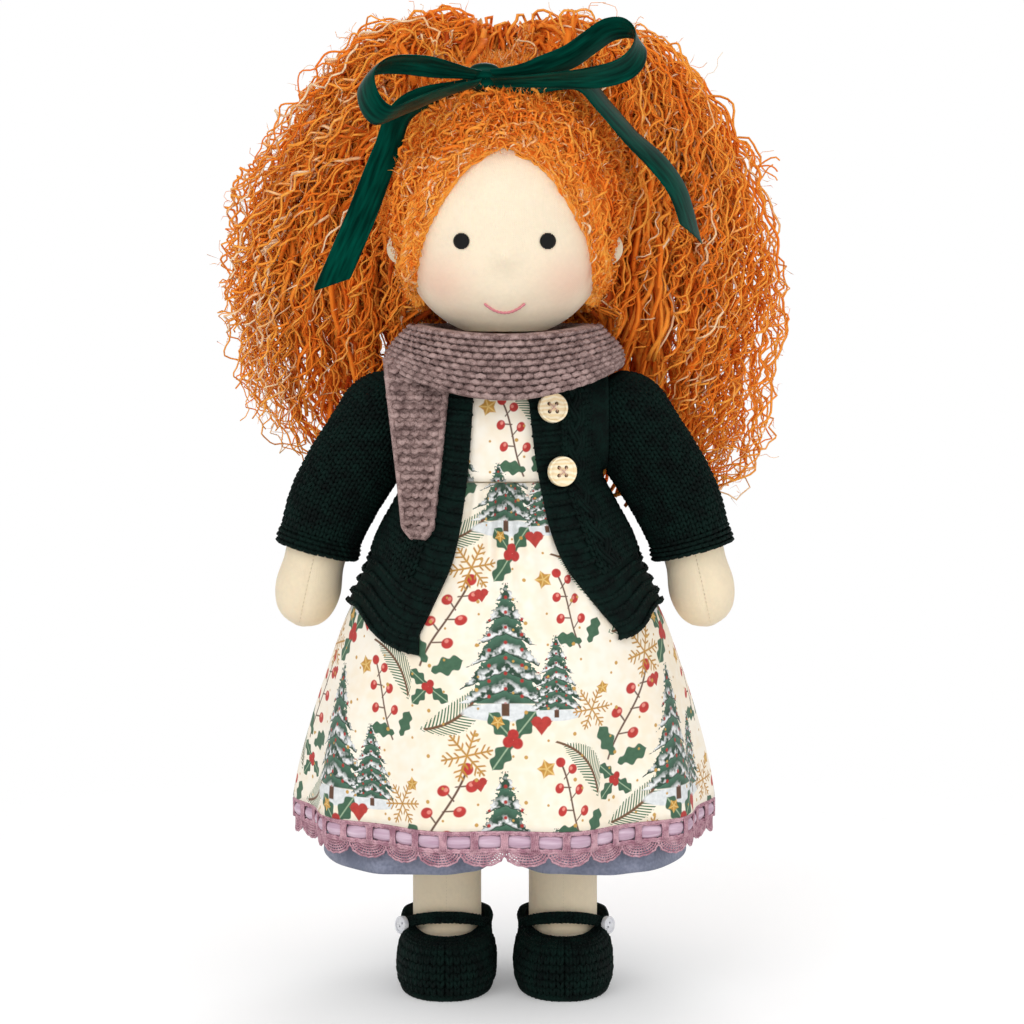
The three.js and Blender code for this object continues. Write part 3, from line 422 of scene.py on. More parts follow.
class Shape:
    """Points, polygons and per-point values in millimetres, gathered into one mesh."""

    def __init__(self):
        self.points, self.polygons, self.tones, self.uvs, self.count = [], [], [], [], 0

    def add(self, points, polygons, tone=0.5, uv=None):
        points = np.asarray(points, float).reshape(-1, 3)
        self.points.append(points)
        self.polygons += [np.asarray(p) + self.count for p in polygons]
        self.tones.append(np.broadcast_to(tone, len(points)))
        self.uvs.append(points[:, :2] * 0 if uv is None else np.asarray(uv, float).reshape(-1, 2))
        self.count += len(points)
        return self

    def tubes(self, lines, radii, sides=4, tone=0.5):
        """Round threads along lines[n, m], with a radius for each point and closed ends."""
        lines = np.asarray(lines, float)
        n, m = lines.shape[:2]
        _, across, through = frames(lines)
        angle = circle(sides)
        radii = np.broadcast_to(radii, (n, m))[:, :, None, None]
        ring = across[:, :, None] * np.cos(angle)[:, None] + through[:, :, None] * np.sin(angle)[:, None]
        points = lines[:, :, None] + ring * radii
        start = (np.arange(n) * m * sides)[:, None, None]
        low = start + np.arange(m - 1)[None, :, None] * sides + np.arange(sides)[None, None]
        after = start + np.arange(m - 1)[None, :, None] * sides + (np.arange(sides) + 1)[None, None] % sides
        quads = np.stack([low, after, after + sides, low + sides], -1).reshape(-1, 4)
        ends = start[:, 0, 0, None] + np.arange(sides)[None]
        if np.ndim(tone) == 1:
            tone = np.reshape(tone, (-1, 1, 1))
        tone = np.broadcast_to(tone, (n, m, sides)).ravel()
        return self.add(points, [quads, ends[:, ::-1], ends + (m - 1) * sides], tone)

    def spindles(self, foot, middle, tip, radius, tone):
        """Fine bent fibres, pointed at both ends and thickest in the middle."""
        n = len(foot)
        across = unit(np.cross(tip - foot, [0.37, 0.61, 0.7]))
        through = unit(np.cross(tip - foot, across))
        angle = circle(3)
        ring = across[:, None] * np.cos(angle)[:, None] + through[:, None] * np.sin(angle)[:, None]
        points = np.concatenate([foot[:, None], middle[:, None] + ring * radius, tip[:, None]], 1)
        start = np.arange(n)[:, None, None] * 5
        low = start + np.array([[0, 2, 1], [0, 3, 2], [0, 1, 3]])
        high = start + np.array([[4, 1, 2], [4, 2, 3], [4, 3, 1]])
        return self.add(points, [low.reshape(-1, 3), high.reshape(-1, 3)], np.repeat(tone, 5))

    def skin(self, outer, thickness=0.0, loop=False, uv=None, tone=0.5):
        """A surface over rows of points: a closed sheet with a thickness, or else a closed body."""
        outer = np.asarray(outer, float)
        rows, columns = outer.shape[:2]
        row = np.arange(rows - 1)[:, None] * columns
        j = np.arange(columns if loop else columns - 1)[None]
        after = (j + 1) % columns
        quads = np.stack([row + j, row + after, row + columns + after, row + columns + j], -1).reshape(-1, 4)
        if not thickness:
            ends = [np.arange(columns)[None, ::-1], (rows - 1) * columns + np.arange(columns)[None]]
            return self.add(outer, [quads, *ends], tone, uv)
        inner = outer - grid_normals(outer, loop) * thickness
        shift = rows * columns
        bottom, left = np.arange(columns), np.arange(rows) * columns
        walls = [strip(bottom, shift, loop), strip(bottom + shift - columns, shift, loop, True)]
        if not loop:
            walls += [strip(left, shift, False, True), strip(left + columns - 1, shift, False)]
        both = None if uv is None else np.concatenate([np.asarray(uv).reshape(-1, 2)] * 2)
        tone = np.concatenate([np.broadcast_to(tone, shift)] * 2)
        points = np.concatenate([outer.reshape(-1, 3), inner.reshape(-1, 3)])
        return self.add(points, [quads, quads[:, ::-1] + shift, *walls], tone, both)

    def piece(self, name, material, levels=0):
        """The finished object, at the origin with its place in its mesh."""
        mesh = bpy.data.meshes.new(name)
        points = np.concatenate(self.points) * MM
        loops = np.concatenate([p.ravel() for p in self.polygons])
        corners = np.concatenate([np.full(len(p), p.shape[1]) for p in self.polygons])
        mesh.vertices.add(len(points))
        mesh.vertices.foreach_set("co", points.astype(np.float32).ravel())
        mesh.loops.add(len(loops))
        mesh.loops.foreach_set("vertex_index", loops.astype(np.int32))
        mesh.polygons.add(len(corners))
        starts = np.cumsum(corners) - corners
        mesh.polygons.foreach_set("loop_start", starts.astype(np.int32))
        mesh.update(calc_edges=True)
        tones = mesh.attributes.new("tone", "FLOAT", "POINT")
        tones.data.foreach_set("value", np.concatenate(self.tones).astype(np.float32))
        uv = np.concatenate(self.uvs)
        if uv.any():
            mesh.uv_layers.new(name="Cloth").data.foreach_set("uv", uv[loops].astype(np.float32).ravel())
        mesh.validate()
        mesh.polygons.foreach_set("use_smooth", np.ones(len(mesh.polygons), bool))
        mesh.materials.append(material)
        piece = bpy.data.objects.new(name, mesh)
        bpy.context.scene.collection.objects.link(piece)
        if levels:
            soften(piece, levels)
        return piece


def strip(edge, shift, loop, flip=False):
    """The wall between an edge of a sheet's outer face and the same edge of its inner face."""
    after = np.roll(edge, -1)
    if not loop:
        edge, after = edge[:-1], after[:-1]
    quads = np.stack([edge, edge + shift, after + shift, after], -1)
    return quads[:, ::-1] if flip else quads


def grid_normals(grid, loop):
    """Outward directions of a grid whose rows rise and whose columns turn left, seen from outside."""
    if loop:
        padded = np.concatenate([grid[:, -1:], grid, grid[:, :1]], 1)
        across = np.gradient(padded, axis=1)[:, 1:-1]
    else:
        across = np.gradient(grid, axis=1)
    return unit(np.cross(across, np.gradient(grid, axis=0)))


def select_only(piece):
    for other in bpy.context.selected_objects:
        other.select_set(False)
    piece.select_set(True)
    bpy.context.view_layer.objects.active = piece


def modify(piece, kind, **settings):
    """Adds a modifier and applies it."""
    select_only(piece)
    modifier = piece.modifiers.new(kind.lower(), kind)
    for name, value in settings.items():
        setattr(modifier, name, value)
    bpy.ops.object.modifier_apply(modifier=modifier.name)


def soften(piece, levels):
    modify(piece, "SUBSURF", levels=levels, render_levels=levels)


def settle(piece, body, slot, *nodes):
    """The piece rides on a body and stands for the nodes, which it hides. The slot is not used."""
    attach(piece, body)
    if nodes:
        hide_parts(*nodes)
    return piece


class Graph:
    """Adds shader nodes to one tree. Each call gives back the new node's output."""

    def __init__(self, tree):
        self.tree = tree

    def node(self, kind, inputs=None, output=0, **settings):
        node = self.tree.nodes.new("ShaderNode" + kind)
        for name, value in settings.items():
            setattr(node, name, value)
        for key, value in (inputs or {}).items():
            self.feed(node.inputs[key], value)
        return node.outputs[output]

    def feed(self, socket, value):
        value = getattr(value, "socket", value)
        if isinstance(value, bpy.types.NodeSocket):
            self.tree.links.new(value, socket)
        elif socket.type == "RGBA":
            socket.default_value = (*value[:3], 1)
        else:
            socket.default_value = value

    def math(self, operation, a, b=0.0, c=0.0, clamp=False):
        return self.node("Math", {0: a, 1: b, 2: c}, operation=operation, use_clamp=clamp)

    def mix(self, share, a, b, blend="MIX"):
        return self.node("Mix", {0: share, 6: a, 7: b}, output=2, data_type="RGBA", blend_type=blend)

    def band(self, value, low, high):
        return self.node("MapRange", {0: value, 1: low, 2: high}, interpolation_type="SMOOTHSTEP")

    def noise(self, vector, scale, detail=2.0, output="Fac"):
        return self.node("TexNoise", {"Vector": vector, "Scale": scale, "Detail": detail}, output=output)

    def place(self):
        return self.node("TexCoord", output="Object")

    def cloth(self):
        return self.node("UVMap", output="UV", uv_map="Cloth")

    def tone(self):
        return self.node("Attribute", output="Fac", attribute_name="tone")

    def paint(self, color):
        """Gives the material its colour."""
        self.feed(self.principled.inputs["Base Color"], color)

    def relief(self, height, strength, distance):
        """Gives the material its fine relief."""
        inputs = {"Height": height, "Strength": strength, "Distance": distance}
        self.feed(self.principled.inputs["Normal"], self.node("Bump", inputs, output="Normal"))


class Number:
    """A number in a shader tree that Python's own signs can add, multiply and compare."""

    def __init__(self, graph, socket):
        self.graph, self.socket = graph, socket

    def run(self, operation, *others, clamp=False):
        others = [getattr(other, "socket", other) for other in others]
        return Number(self.graph, self.graph.math(operation, self.socket, *others, clamp=clamp))

    def __add__(self, other):
        return self.run("ADD", other)

    def __sub__(self, other):
        return self.run("SUBTRACT", other)

    def __mul__(self, other):
        return self.run("MULTIPLY", other)

    def __abs__(self):
        return self.run("ABSOLUTE")

    def wrap(self, size):
        """The distance from the nearest multiple of a size, which may be negative."""
        return self.run("WRAP", size / 2, -size / 2)

    def most(self, other):
        return self.run("MAXIMUM", other)

    def held(self):
        """The number kept between 0 and 1."""
        return self.run("ADD", 0.0, clamp=True)


def shader(name, color, roughness=0.8, **extra):
    """A new Principled material and the graph of its nodes."""
    material = bpy.data.materials.new(name)
    material.use_nodes = True
    tree = material.node_tree
    principled = tree.nodes["Principled BSDF"]
    graph = Graph(tree)
    graph.principled = principled
    graph.material = material
    principled.inputs["Base Color"].default_value = (*color, 1)
    principled.inputs["Roughness"].default_value = roughness
    for key, value in extra.items():
        graph.feed(principled.inputs[key.replace("_", " ")], value)
    return graph


def group(name, inputs, outputs, build):
    """A node group made once. build(graph, inputs) gives back its outputs."""
    if name in bpy.data.node_groups:
        return bpy.data.node_groups[name]
    tree = bpy.data.node_groups.new(name, "ShaderNodeTree")
    for label, (kind, default) in inputs.items():
        socket = tree.interface.new_socket(label, in_out="INPUT", socket_type=f"NodeSocket{kind}")
        if default is not None:
            socket.default_value = default
    for label, kind in outputs.items():
        tree.interface.new_socket(label, in_out="OUTPUT", socket_type=f"NodeSocket{kind}")
    graph = Graph(tree)
    entry = tree.nodes.new("NodeGroupInput")
    leave = tree.nodes.new("NodeGroupOutput")
    results = build(graph, {socket.name: socket for socket in entry.outputs if socket.name})
    for label, result in zip(outputs, results):
        graph.feed(leave.inputs[label], result)
    return tree


def use_group(graph, tree, inputs, output):
    node = graph.tree.nodes.new("ShaderNodeGroup")
    node.node_tree = tree
    for key, value in inputs.items():
        graph.feed(node.inputs[key], value)
    return node.outputs[output]


def build_mottle(graph, inputs):
    """Soft blotches and fine flecks of one colour, as yarn and cloth have."""
    blotch = graph.noise(inputs["Vector"], inputs["Scale"], 3)
    fleck = graph.noise(inputs["Vector"], graph.math("MULTIPLY", inputs["Scale"], 9.0), 1)
    both = graph.math("MULTIPLY_ADD", fleck, 0.4, graph.math("MULTIPLY", blotch, 0.6))
    share = graph.band(both, 0.35, 0.65)
    return [graph.mix(share, inputs["Dark"], inputs["Light"]), share]


def mottle(graph, vector, scale, dark, light, output="Color"):
    inputs = {"Vector": ("Vector", None), "Scale": ("Float", 100.0)}
    inputs |= {"Dark": ("Color", None), "Light": ("Color", None)}
    tree = group("mottle", inputs, {"Color": "Color", "Share": "Float"}, build_mottle)
    return use_group(graph, tree, {"Vector": vector, "Scale": scale, "Dark": dark, "Light": light}, output)


def build_weave(graph, inputs):
    """Crossing threads as a height, one pair of threads to each step."""
    scaled = graph.node("VectorMath", {0: inputs["Vector"], 3: inputs["Threads"]}, operation="SCALE")
    parts = graph.node("SeparateXYZ", {0: scaled}).node.outputs
    waves = [graph.math("SINE", graph.math("MULTIPLY", part, math.tau)) for part in parts]
    product = graph.math("MULTIPLY", waves[0], graph.math("ADD", waves[1], waves[2]))
    return [graph.math("MULTIPLY_ADD", product, 0.25, 0.5)]


def weave(graph, vector, threads):
    inputs = {"Vector": ("Vector", None), "Threads": ("Float", 1.0)}
    tree = group("weave", inputs, {"Height": "Float"}, build_weave)
    return use_group(graph, tree, {"Vector": vector, "Threads": threads}, "Height")


def kept(make):
    """A material function that makes each named material once."""
    made = {}

    def once(name, *values):
        if name not in made:
            made[name] = make(name, *values)
        return made[name]

    return once


@kept
def jersey(name, blush=False):
    """Fine cotton jersey, with rosy cheeks on the head."""
    skin = colours().skin if blush else colours().limbs
    graph = shader(name, skin, 0.75, Sheen_Weight=0.15, Subsurface_Weight=0.08, Subsurface_Scale=0.004)
    place = graph.place()
    color = mottle(graph, place, 60.0, skin * 0.96, skin * 1.02)
    if blush:
        parts = graph.node("SeparateXYZ", {0: place}).node.outputs
        x = abs(Number(graph, parts[0])) - CHEEK_X * MM
        z = Number(graph, parts[2]) - CHEEK_Z * MM
        spread = (x * x * 6500.0 + z * z * 9000.0).run("MULTIPLY", -1.0)
        rosy = spread.run("EXPONENT") * Number(graph, graph.band(parts[1], -0.012, -0.026))
        color = graph.mix(rosy * 0.42, color, colours().blush)
    graph.paint(color)
    graph.relief(weave(graph, place, 1150.0), 0.35, 0.00025)
    return graph.material


@kept
def wig_yarn(name):
    """Dyed mohair: the tone of each strand runs from rust, painted shade in the depths, through orange and a
    paler orange that is partly a painted highlight, to pale wisps.
    """
    look = colours()
    graph = shader(name, look.wig, 0.75, Specular_IOR_Level=0.2, Sheen_Weight=0.3, Sheen_Tint=look.wig_bright)
    fleck = graph.noise(graph.place(), 420.0, 2)
    share = graph.math("MULTIPLY_ADD", graph.math("SUBTRACT", fleck, 0.5), 0.35, graph.tone())
    # Painted shade: low tones mix towards the deep rust
    deep = graph.mix(graph.band(share, 0.0, 0.3), look.wig_deep, look.wig)
    # Painted highlight: higher tones mix towards the bright orange, which is also the hairline's own yarn
    warm = graph.mix(graph.band(share, 0.35, 0.7), deep, look.wig_bright)
    color = graph.mix(graph.band(share, 0.75, 1.0), warm, look.wig_wisp)
    graph.paint(color)
    return graph.material


@kept
def satin(name, dark, light):
    """Woven satin ribbon with a fine rib along its length, whose colour runs from its shaded to its lit tone
    in soft streaks: a painted sheen.
    """
    graph = shader(name, light, 0.34, Anisotropic=0.5, Specular_IOR_Level=0.3, Specular_Tint=light)
    cloth = graph.cloth()
    # Painted sheen: stretched streaks of lit and shaded satin along the ribbon
    painted_sheen = graph.noise(graph.node("Mapping", {0: cloth, 3: (0.06, 0.5, 1.0)}), 1.0, 2)
    graph.paint(graph.mix(graph.band(painted_sheen, 0.25, 0.85), dark, light))
    lines = graph.node("TexWave", {"Vector": cloth, "Scale": 1.1, "Distortion": 0.6, "Detail": 1.0})
    graph.relief(lines, 0.12, 0.0002)
    return graph.material


@kept
def wool(name, dark, light, roughness=0.85, scale=160.0):
    """Spun wool: two tones, with a twist of fibres along each thread."""
    graph = shader(name, light, roughness, Specular_IOR_Level=0.12)
    place = graph.place()
    graph.paint(mottle(graph, place, scale, dark, light))
    graph.relief(graph.noise(place, 2600.0, 2), 0.5, 0.0004)
    return graph.material


@kept
def plain_weave(name, dark, light):
    """Plain woven cotton seen on its own map, which is in millimetres."""
    graph = shader(name, light, 0.85, Sheen_Weight=0.1)
    graph.paint(mottle(graph, graph.place(), 90.0, dark, light))
    graph.relief(weave(graph, graph.cloth(), 2.0), 0.4, 0.0002)
    return graph.material


@kept
def thread(name, color):
    """Cotton thread with a faint twist."""
    graph = shader(name, color, 0.6, Specular_IOR_Level=0.25)
    fibre = graph.noise(graph.place(), 1500.0, 1)
    graph.paint(graph.mix(fibre, color * 0.7, color))
    return graph.material


@kept
def boxwood(name):
    """Turned wood with a little wax on it."""
    look = colours()
    graph = shader(name, look.wood, 0.45, Coat_Weight=0.15)
    wavy = {"Vector": graph.place(), "Scale": 160.0, "Distortion": 6.0, "Detail": 2.0}
    rings = graph.node("TexWave", wavy, bands_direction="Z")
    graph.paint(graph.mix(graph.band(rings, 0.1, 0.9), look.wood_dark, look.wood))
    graph.relief(rings, 0.1, 0.0002)
    return graph.material


@kept
def shell_pearl(name):
    """The pale cloudy gloss of small shell buttons."""
    look = colours()
    graph = shader(name, look.pearl, 0.25, Coat_Weight=0.4)
    cloud = graph.noise(graph.place(), 300.0, 3)
    graph.paint(graph.mix(cloud, look.pearl_dark, look.pearl))
    return graph.material


def green_wool():
    return wool("knit_green", colours().knit_dark, colours().knit)


# The dress print. Each motif is drawn in its own millimetres, x across and z up, as masks with colours.
PRINT_WIDTH = 78.0
PRINT_HEIGHT = 74.0
MOTIF_EDGE = 0.35


def inside(distance, edge=MOTIF_EDGE):
    """1 inside a shape and 0 outside it, from the distance past its outline."""
    return (distance * (-1 / edge) + 0.5).held()


def apart(x, z):
    """The distance of a point from the middle."""
    return (x * x + z * z).run("SQRT")


def motif_place(x, z, at, turn=0.0, size=1.0, width=PRINT_WIDTH, height=PRINT_HEIGHT):
    """Coordinates about a motif's middle. Every second column of the print is half a repeat higher."""
    across = x - at[0]
    column = (across * (1 / width) + 0.5).run("FLOOR")
    up = (z - at[1] - column * (height / 2)).wrap(height)
    across = across.wrap(width)
    c, s = math.cos(turn) / size, math.sin(turn) / size
    return across * c + up * s, up * c - across * s


def blotches(x, z, scale):
    graph = x.graph
    return Number(graph, graph.noise(graph.node("CombineXYZ", {0: x, 1: z}), scale, 2))


def fir(x, z):
    """A tiered fir with snow on its branches and a drift below it."""
    drop = (z * -1 + 17) * (1 / 34)
    droop = drop - abs(x) * 0.012 + blotches(x, z, 0.35) * 0.06
    step = (droop * 6.5).run("FRACT")
    jag = blotches(x, z, 0.8) * 6 - 3
    branches = drop.run("MAXIMUM", 0.0).run("POWER", 0.85) * 13 * (step * 0.4 + 0.66) + jag
    body = inside(abs(x) - branches) * inside(drop * 34 - 34) * inside(drop * -34)
    trunk = inside(abs(x) - 1.1) * inside(abs(z + 18.5) - 2.0)
    light = body * (step * -1.6 + 0.9).held()
    patches = (blotches(x, z, 0.4) * 8 - 3.5).held()
    snow = body * patches * (step * 3 - 1.0).held() * (step * -12 + 11.6).held()
    drift = inside((x * x * 0.045 + (z + 19.5) * (z + 19.5)).run("SQRT") - 2.6)
    dots_x, dots_z = x.wrap(4.6), (z + (x * (1 / 4.6) + 0.5).run("FLOOR") * 2.1).wrap(4.3)
    berries = body * inside(apart(dots_x, dots_z) - 0.5)
    tree = [(trunk, "5A3A26"), (body, "22402F"), (light, "47705A")]
    return [(drift, "DDE3E4"), *tree, (snow, "F3F5F3"), (berries, "A92B25")]


def twig(x, z):
    """A sprig of pine: fine needles that lean away from a bent stem."""
    bend = x * x * 0.025
    z = z - bend
    near = abs(z)
    comb = ((x - near * 0.9) * (math.tau / 1.15)).run("SINE")
    reach = x * x * -0.03 + x * -0.1 + 4.4 + blotches(x, z, 1.6) * 2.6 - 1.3
    needles = inside(comb * -0.5 + 0.05, 0.5) * inside(near - reach)
    stem = inside(near - 0.45) * inside(abs(x) - 12.5)
    return [(needles, "3F6A49"), (stem, "6B4A30")]


def sprig(x, z):
    """A bent stem with round berries on stalks and two leaves at its foot."""
    bend = (z * 0.11).run("SINE") * 2.4
    stem = inside(abs(x - bend) - 0.32) * inside(abs(z) - 14)
    level = ((z + 1) * (1 / 3.8) + 0.5).run("FLOOR")
    side = (level * 0.5).run("FRACT") * 4 - 1
    near_x, near_z = (x - bend) * side - 4.0 + level * 0.3, (z + 1).wrap(3.8)
    upper = inside(z * -1 - 6.7) * inside(z - 12.3)
    stalk = inside(abs(near_z + near_x * -0.5 - 0.4) - 0.25) * inside(abs(near_x + 2.1) - 2.1) * upper
    berry = inside(apart(near_x, near_z) - 1.65) * upper
    berry = berry.most(inside(apart(x - bend, z - 14.5) - 1.7))
    glint = inside(apart(near_x + 0.5, near_z - 0.5) - 0.6) * berry
    leaves = leaf(x - 5.5, z + 10.5, 0.7)[0][0].most(leaf(x + 5, z + 9, 2.5)[0][0])
    return [(stem.most(stalk), "5B3C2A"), (leaves, "3D6248"), (berry, "B7302B"), (glint, "E9897B")]


def leaf(x, z, turn):
    """A lobed leaf with its middle vein."""
    c, s = math.cos(turn), math.sin(turn)
    along, aside = x * c + z * s, abs(z * c - x * s)
    lobes = (along * 1.7).run("SINE") * 0.5
    blade = inside(aside - (along * along * -0.085 + 2.3) + lobes)
    vein = blade * inside(aside - 0.16)
    return [(blade, "3A5F46"), (vein, "A8BE9C")]


def holly(x, z):
    """Three holly leaves round three berries."""
    parts = []
    for turn in (0.5, 1.9, 3.7):
        parts += leaf(x - math.cos(turn) * 5.6, z - math.sin(turn) * 5.6, turn)
    cluster = None
    for turn in (1.2, 3.1, 5.2):
        berry = inside(apart(x - math.cos(turn) * 1.5, z - math.sin(turn) * 1.5) - 1.55)
        cluster = berry if cluster is None else cluster.most(berry)
    return [*parts, (cluster, "B22B26")]


def snowflake(x, z):
    """Six arms with three pairs of barbs each."""
    radius = apart(x, z)
    turn = z.run("ARCTAN2", x).wrap(math.tau / 6)
    along, aside = radius * turn.run("COSINE"), abs(radius * turn.run("SINE"))
    arms = inside(aside - 0.3) * inside(along - 8)
    for start, reach in ((2.4, 1.6), (4.3, 2.2), (6.1, 1.3)):
        barb = inside(abs(along - aside * 0.75 - start) - 0.33) * inside(aside - reach)
        arms = arms.most(barb)
    return [(arms, "B9852F")]


def star(x, z):
    """A five-pointed star with a lighter ridge along each point."""
    radius = apart(x, z)
    turn = abs(x.run("ARCTAN2", z).wrap(math.tau / 5))
    along, aside = radius * turn.run("COSINE"), radius * turn.run("SINE")
    body = inside(along * 0.59 + aside * 0.81 - 1.85)
    return [(body, "C08B35"), (body * inside(aside - 0.22), "E3BE74")]


def heart(x, z):
    across = abs(x)
    lobe = apart(across - 1.45, z - 0.9) - 1.75
    point = (across * 0.78 - z * 0.62) - 2.1
    body = inside(lobe).most(inside(point) * inside(z - 1.2))
    return [(body, "B2342C")]


PRINT_MOTIFS = [  # motif, middle, turn and size
    [twig, (-17, -29), 0.7, 1.3],
    [twig, (32, 27), 2.3, 1.1],
    [fir, (0, -1), 0.0, 1.4],
    [fir, (20, -13), 0.0, 0.85],
    [sprig, (-25, 6), -0.35, 1.4],
    [sprig, (26, 11), 0.45, 1.1],
    [holly, (3, 35), 0.4, 1.4],
    [holly, (-31, -19), 2.0, 1.0],
    [snowflake, (-15, 29), 0.2, 1.3],
    [snowflake, (35, -28), 0.1, 1.05],
    [star, (16, 24), 0.3, 1.2],
    [star, (-38, 17), 0.1, 0.9],
    [star, (-3, -32), 0.6, 0.9],
    [heart, (14, -33), 0.0, 1.2],
    [heart, (-10, 18), 0.15, 0.9],
]


GOLD_DOTS = ((13.7, (3, 4), 0.5), (19.3, (8, 11), 0.75))  # how far apart they lie, the first one, and radius


def build_print(graph, inputs):
    """The motifs, painted on the ground one over the other, and gold dots between them."""
    parts = graph.node("SeparateXYZ", {0: inputs["Vector"]}).node.outputs
    x, z = Number(graph, parts[0]), Number(graph, parts[1])
    color = inputs["Ground"]
    wash = graph.noise(inputs["Vector"], 0.5, 3)
    for motif, at, turn, size in PRINT_MOTIFS:
        for mask, code in motif(*motif_place(x, z, at, turn, size)):
            ink = srgb(code)
            dark, pale = tuple(v * 0.72 for v in ink), tuple(min(1, v * 1.35 + 0.01) for v in ink)
            painted = graph.mix(wash, dark, pale)
            color = graph.mix(mask, color, painted)
    for width, at, radius in GOLD_DOTS:
        dot = apart(*motif_place(x, z, at, width=width, height=width * 0.9))
        color = graph.mix(inside(dot - radius), color, srgb("C79A4E"))
    return [color]


@kept
def printed_cotton(name):
    """Cream cotton with a winter print, and a fine weave."""
    look = colours()
    graph = shader(name, look.cotton, 0.85, Sheen_Weight=0.08)
    cloth = graph.cloth()
    ground = mottle(graph, graph.place(), 25.0, look.cotton_dark, look.cotton)
    inputs = {"Vector": ("Vector", None), "Ground": ("Color", None)}
    tree = group("winter_print", inputs, {"Color": "Color"}, build_print)
    scaled = graph.node("VectorMath", {0: cloth, 3: 1 / sizes().print_scale}, operation="SCALE")
    color = use_group(graph, tree, {"Vector": scaled, "Ground": ground}, "Color")
    graph.paint(color)
    graph.relief(weave(graph, cloth, 2.2), 0.25, 0.00015)
    return graph.material


FACE_FORMS = {  # how far each stands out of the face, how far aside and how high it is, and its half-sizes
    "nose": [2.5, 0, NOSE_Z, 4.3, 4.6],
    "under nose": [-0.5, 0, NOSE_Z - 8.5, 6, 4],
    "eye sockets": [-0.7, EYE_X, EYE_Z, 5.5, 5],
    "cheeks": [0.9, 25, 288, 10, 9],
    "corners of mouth": [-0.45, 9, MOUTH_Z, 3, 3],
    "brow": [0.5, 0, 322, 22, 12],
}


def model_head():
    """A closed stuffed ball, drawn in flat at the neck, with its face's forms."""
    rows, columns = 110, 120
    climb = -np.cos(np.linspace(0, 1, rows) * math.pi)[:, None]
    low = NECK_TOP + 0.2
    z = np.maximum(HEAD_CENTRE + climb * HEAD_HALF[2] * 0.9995, low)
    points = xyz(*oval(*head_at(z), circle(columns)[None]), z)
    first = int((z[:, 0] <= low).sum())
    for row in range(first):
        points[row, :, :2] = points[first, :, :2] * (row + 0.02) / first
    aside, up = np.abs(points[..., 0]), points[..., 2]
    relief = sum(out * spot(aside - x, up - z, w, h) for out, x, z, w, h in FACE_FORMS.values())
    points[..., 1] -= smooth(-points[..., 1] / 10) * relief
    head = Shape().skin(points, loop=True).piece("head_sewn", jersey("head_jersey", True))
    settle(head, "torso", "skin_jersey", "head")


def model_ears():
    cloth = jersey("skin_jersey")
    for name, side in SIDES.items():
        w = float(head_at(EAR_Z)[0])
        angle = circle(24)[None]
        climb = -np.cos(np.linspace(0.02, 0.98, 15) * math.pi)[:, None]
        ring = np.sqrt(1 - climb**2)
        x = side * (w + EAR_REACH - EAR_RADIUS) + EAR_RADIUS * ring * np.cos(angle)
        y = EAR_DEPTH * ring * np.sin(angle)
        z = EAR_Z + EAR_RADIUS * climb
        rim = np.hypot((x * side - w + 1.5) / 4.2, (z - EAR_Z) / 5.0)
        y = y + np.where(y < 0, 1.3 * np.exp(-(rim**2) * 1.6), 0)
        points = xyz(x, y, z)
        if side < 0:
            points = points[:, ::-1]
        ear = Shape().skin(points, loop=True).piece(f"ear_sewn_{name}", cloth, 1)
        settle(ear, "torso", "skin_jersey", f"ear_{name}")


def face_line(x, z, lift):
    """Points on the face at x and z, lifted off it."""
    return np.stack([x, face_y(x, z) - lift, z], -1)


def model_face():
    black, pink = thread("thread_black", colours().eye), thread("thread_pink", colours().mouth)
    stitches = 15
    for name, side in SIDES.items():
        level = (np.arange(stitches) + 0.5) / stitches * 2 - 1
        half = np.sqrt(1 - level**2) * EYE_RADIUS
        across = np.linspace(-1, 1, 7)
        x = side * EYE_X + half[:, None] * across[None]
        z = EYE_Z + level[:, None] * EYE_RADIUS + 0 * across[None]
        out = level[:, None] ** 2 + (half[:, None] * across / EYE_RADIUS) ** 2
        lines = face_line(x, z, 0.75 * np.sqrt(np.maximum(0, 1 - out)) - 0.2)
        eye = Shape().tubes(lines, EYE_RADIUS / stitches * 1.25, 6).piece(f"eye_stitched_{name}", black)
        settle(eye, "torso", "thread_black", f"eye_{name}")
    t = np.linspace(0, 1, 40)
    shape = Shape()
    for ply in (0, math.pi):
        x = (t - 0.5) * MOUTH_WIDTH
        twist = t * 34 + ply
        z = MOUTH_Z - MOUTH_SAG * (1 - (2 * t - 1) ** 2) + 0.22 * np.sin(twist)
        line = face_line(x, z, 0.4 + 0.22 * np.cos(twist))
        shape.tubes(line[None], np.full(len(t), 0.4), 6)
    mouth = shape.piece("mouth_stitched", pink)
    settle(mouth, "torso", "thread_pink", "mouth")


# The wig
def bezier(a, b, c, d, steps):
    """Curved lines from a to d, which b and c pull aside."""
    t = np.linspace(0, 1, steps)[None, :, None]
    a, b, c, d = (p[:, None] for p in (a, b, c, d))
    return a * (1 - t) ** 3 + 3 * b * t * (1 - t) ** 2 + 3 * c * t**2 * (1 - t) + d * t**3


CRIMP_DEPTH = 0.75  # the depth of a crimp as a share of its width


def crimp(lines, draw, reach, wave, growth=0.5):
    """Winds each strand into a loose, uneven helix."""
    n, m = lines.shape[:2]
    _, across, through = frames(lines)
    length = run_length(lines)
    tight = draw.uniform(0.6, 1.0, (n, 1))
    pace = tight * math.tau / wave
    phase = draw.uniform(0, math.tau, (n, 1))
    uneven = 0.9 * np.sin(length * pace * 0.23 + draw.uniform(0, math.tau, (n, 1)))
    turn = length * pace + phase + uneven + 0.2 * np.sin(length * pace * 0.61 + phase)
    swell = reach * (1 + growth * np.linspace(-1, 1, m)[None])
    swell = swell * (1 + 0.5 * np.sin(length * pace * 0.37 + phase * 2))
    swell = swell * draw.uniform(0.5, 1.5, (n, 1)) * (0.85 / tight)
    aside, deep = np.cos(turn) * swell, np.sin(turn) * swell * CRIMP_DEPTH
    return lines + across * aside[..., None] + through * deep[..., None]


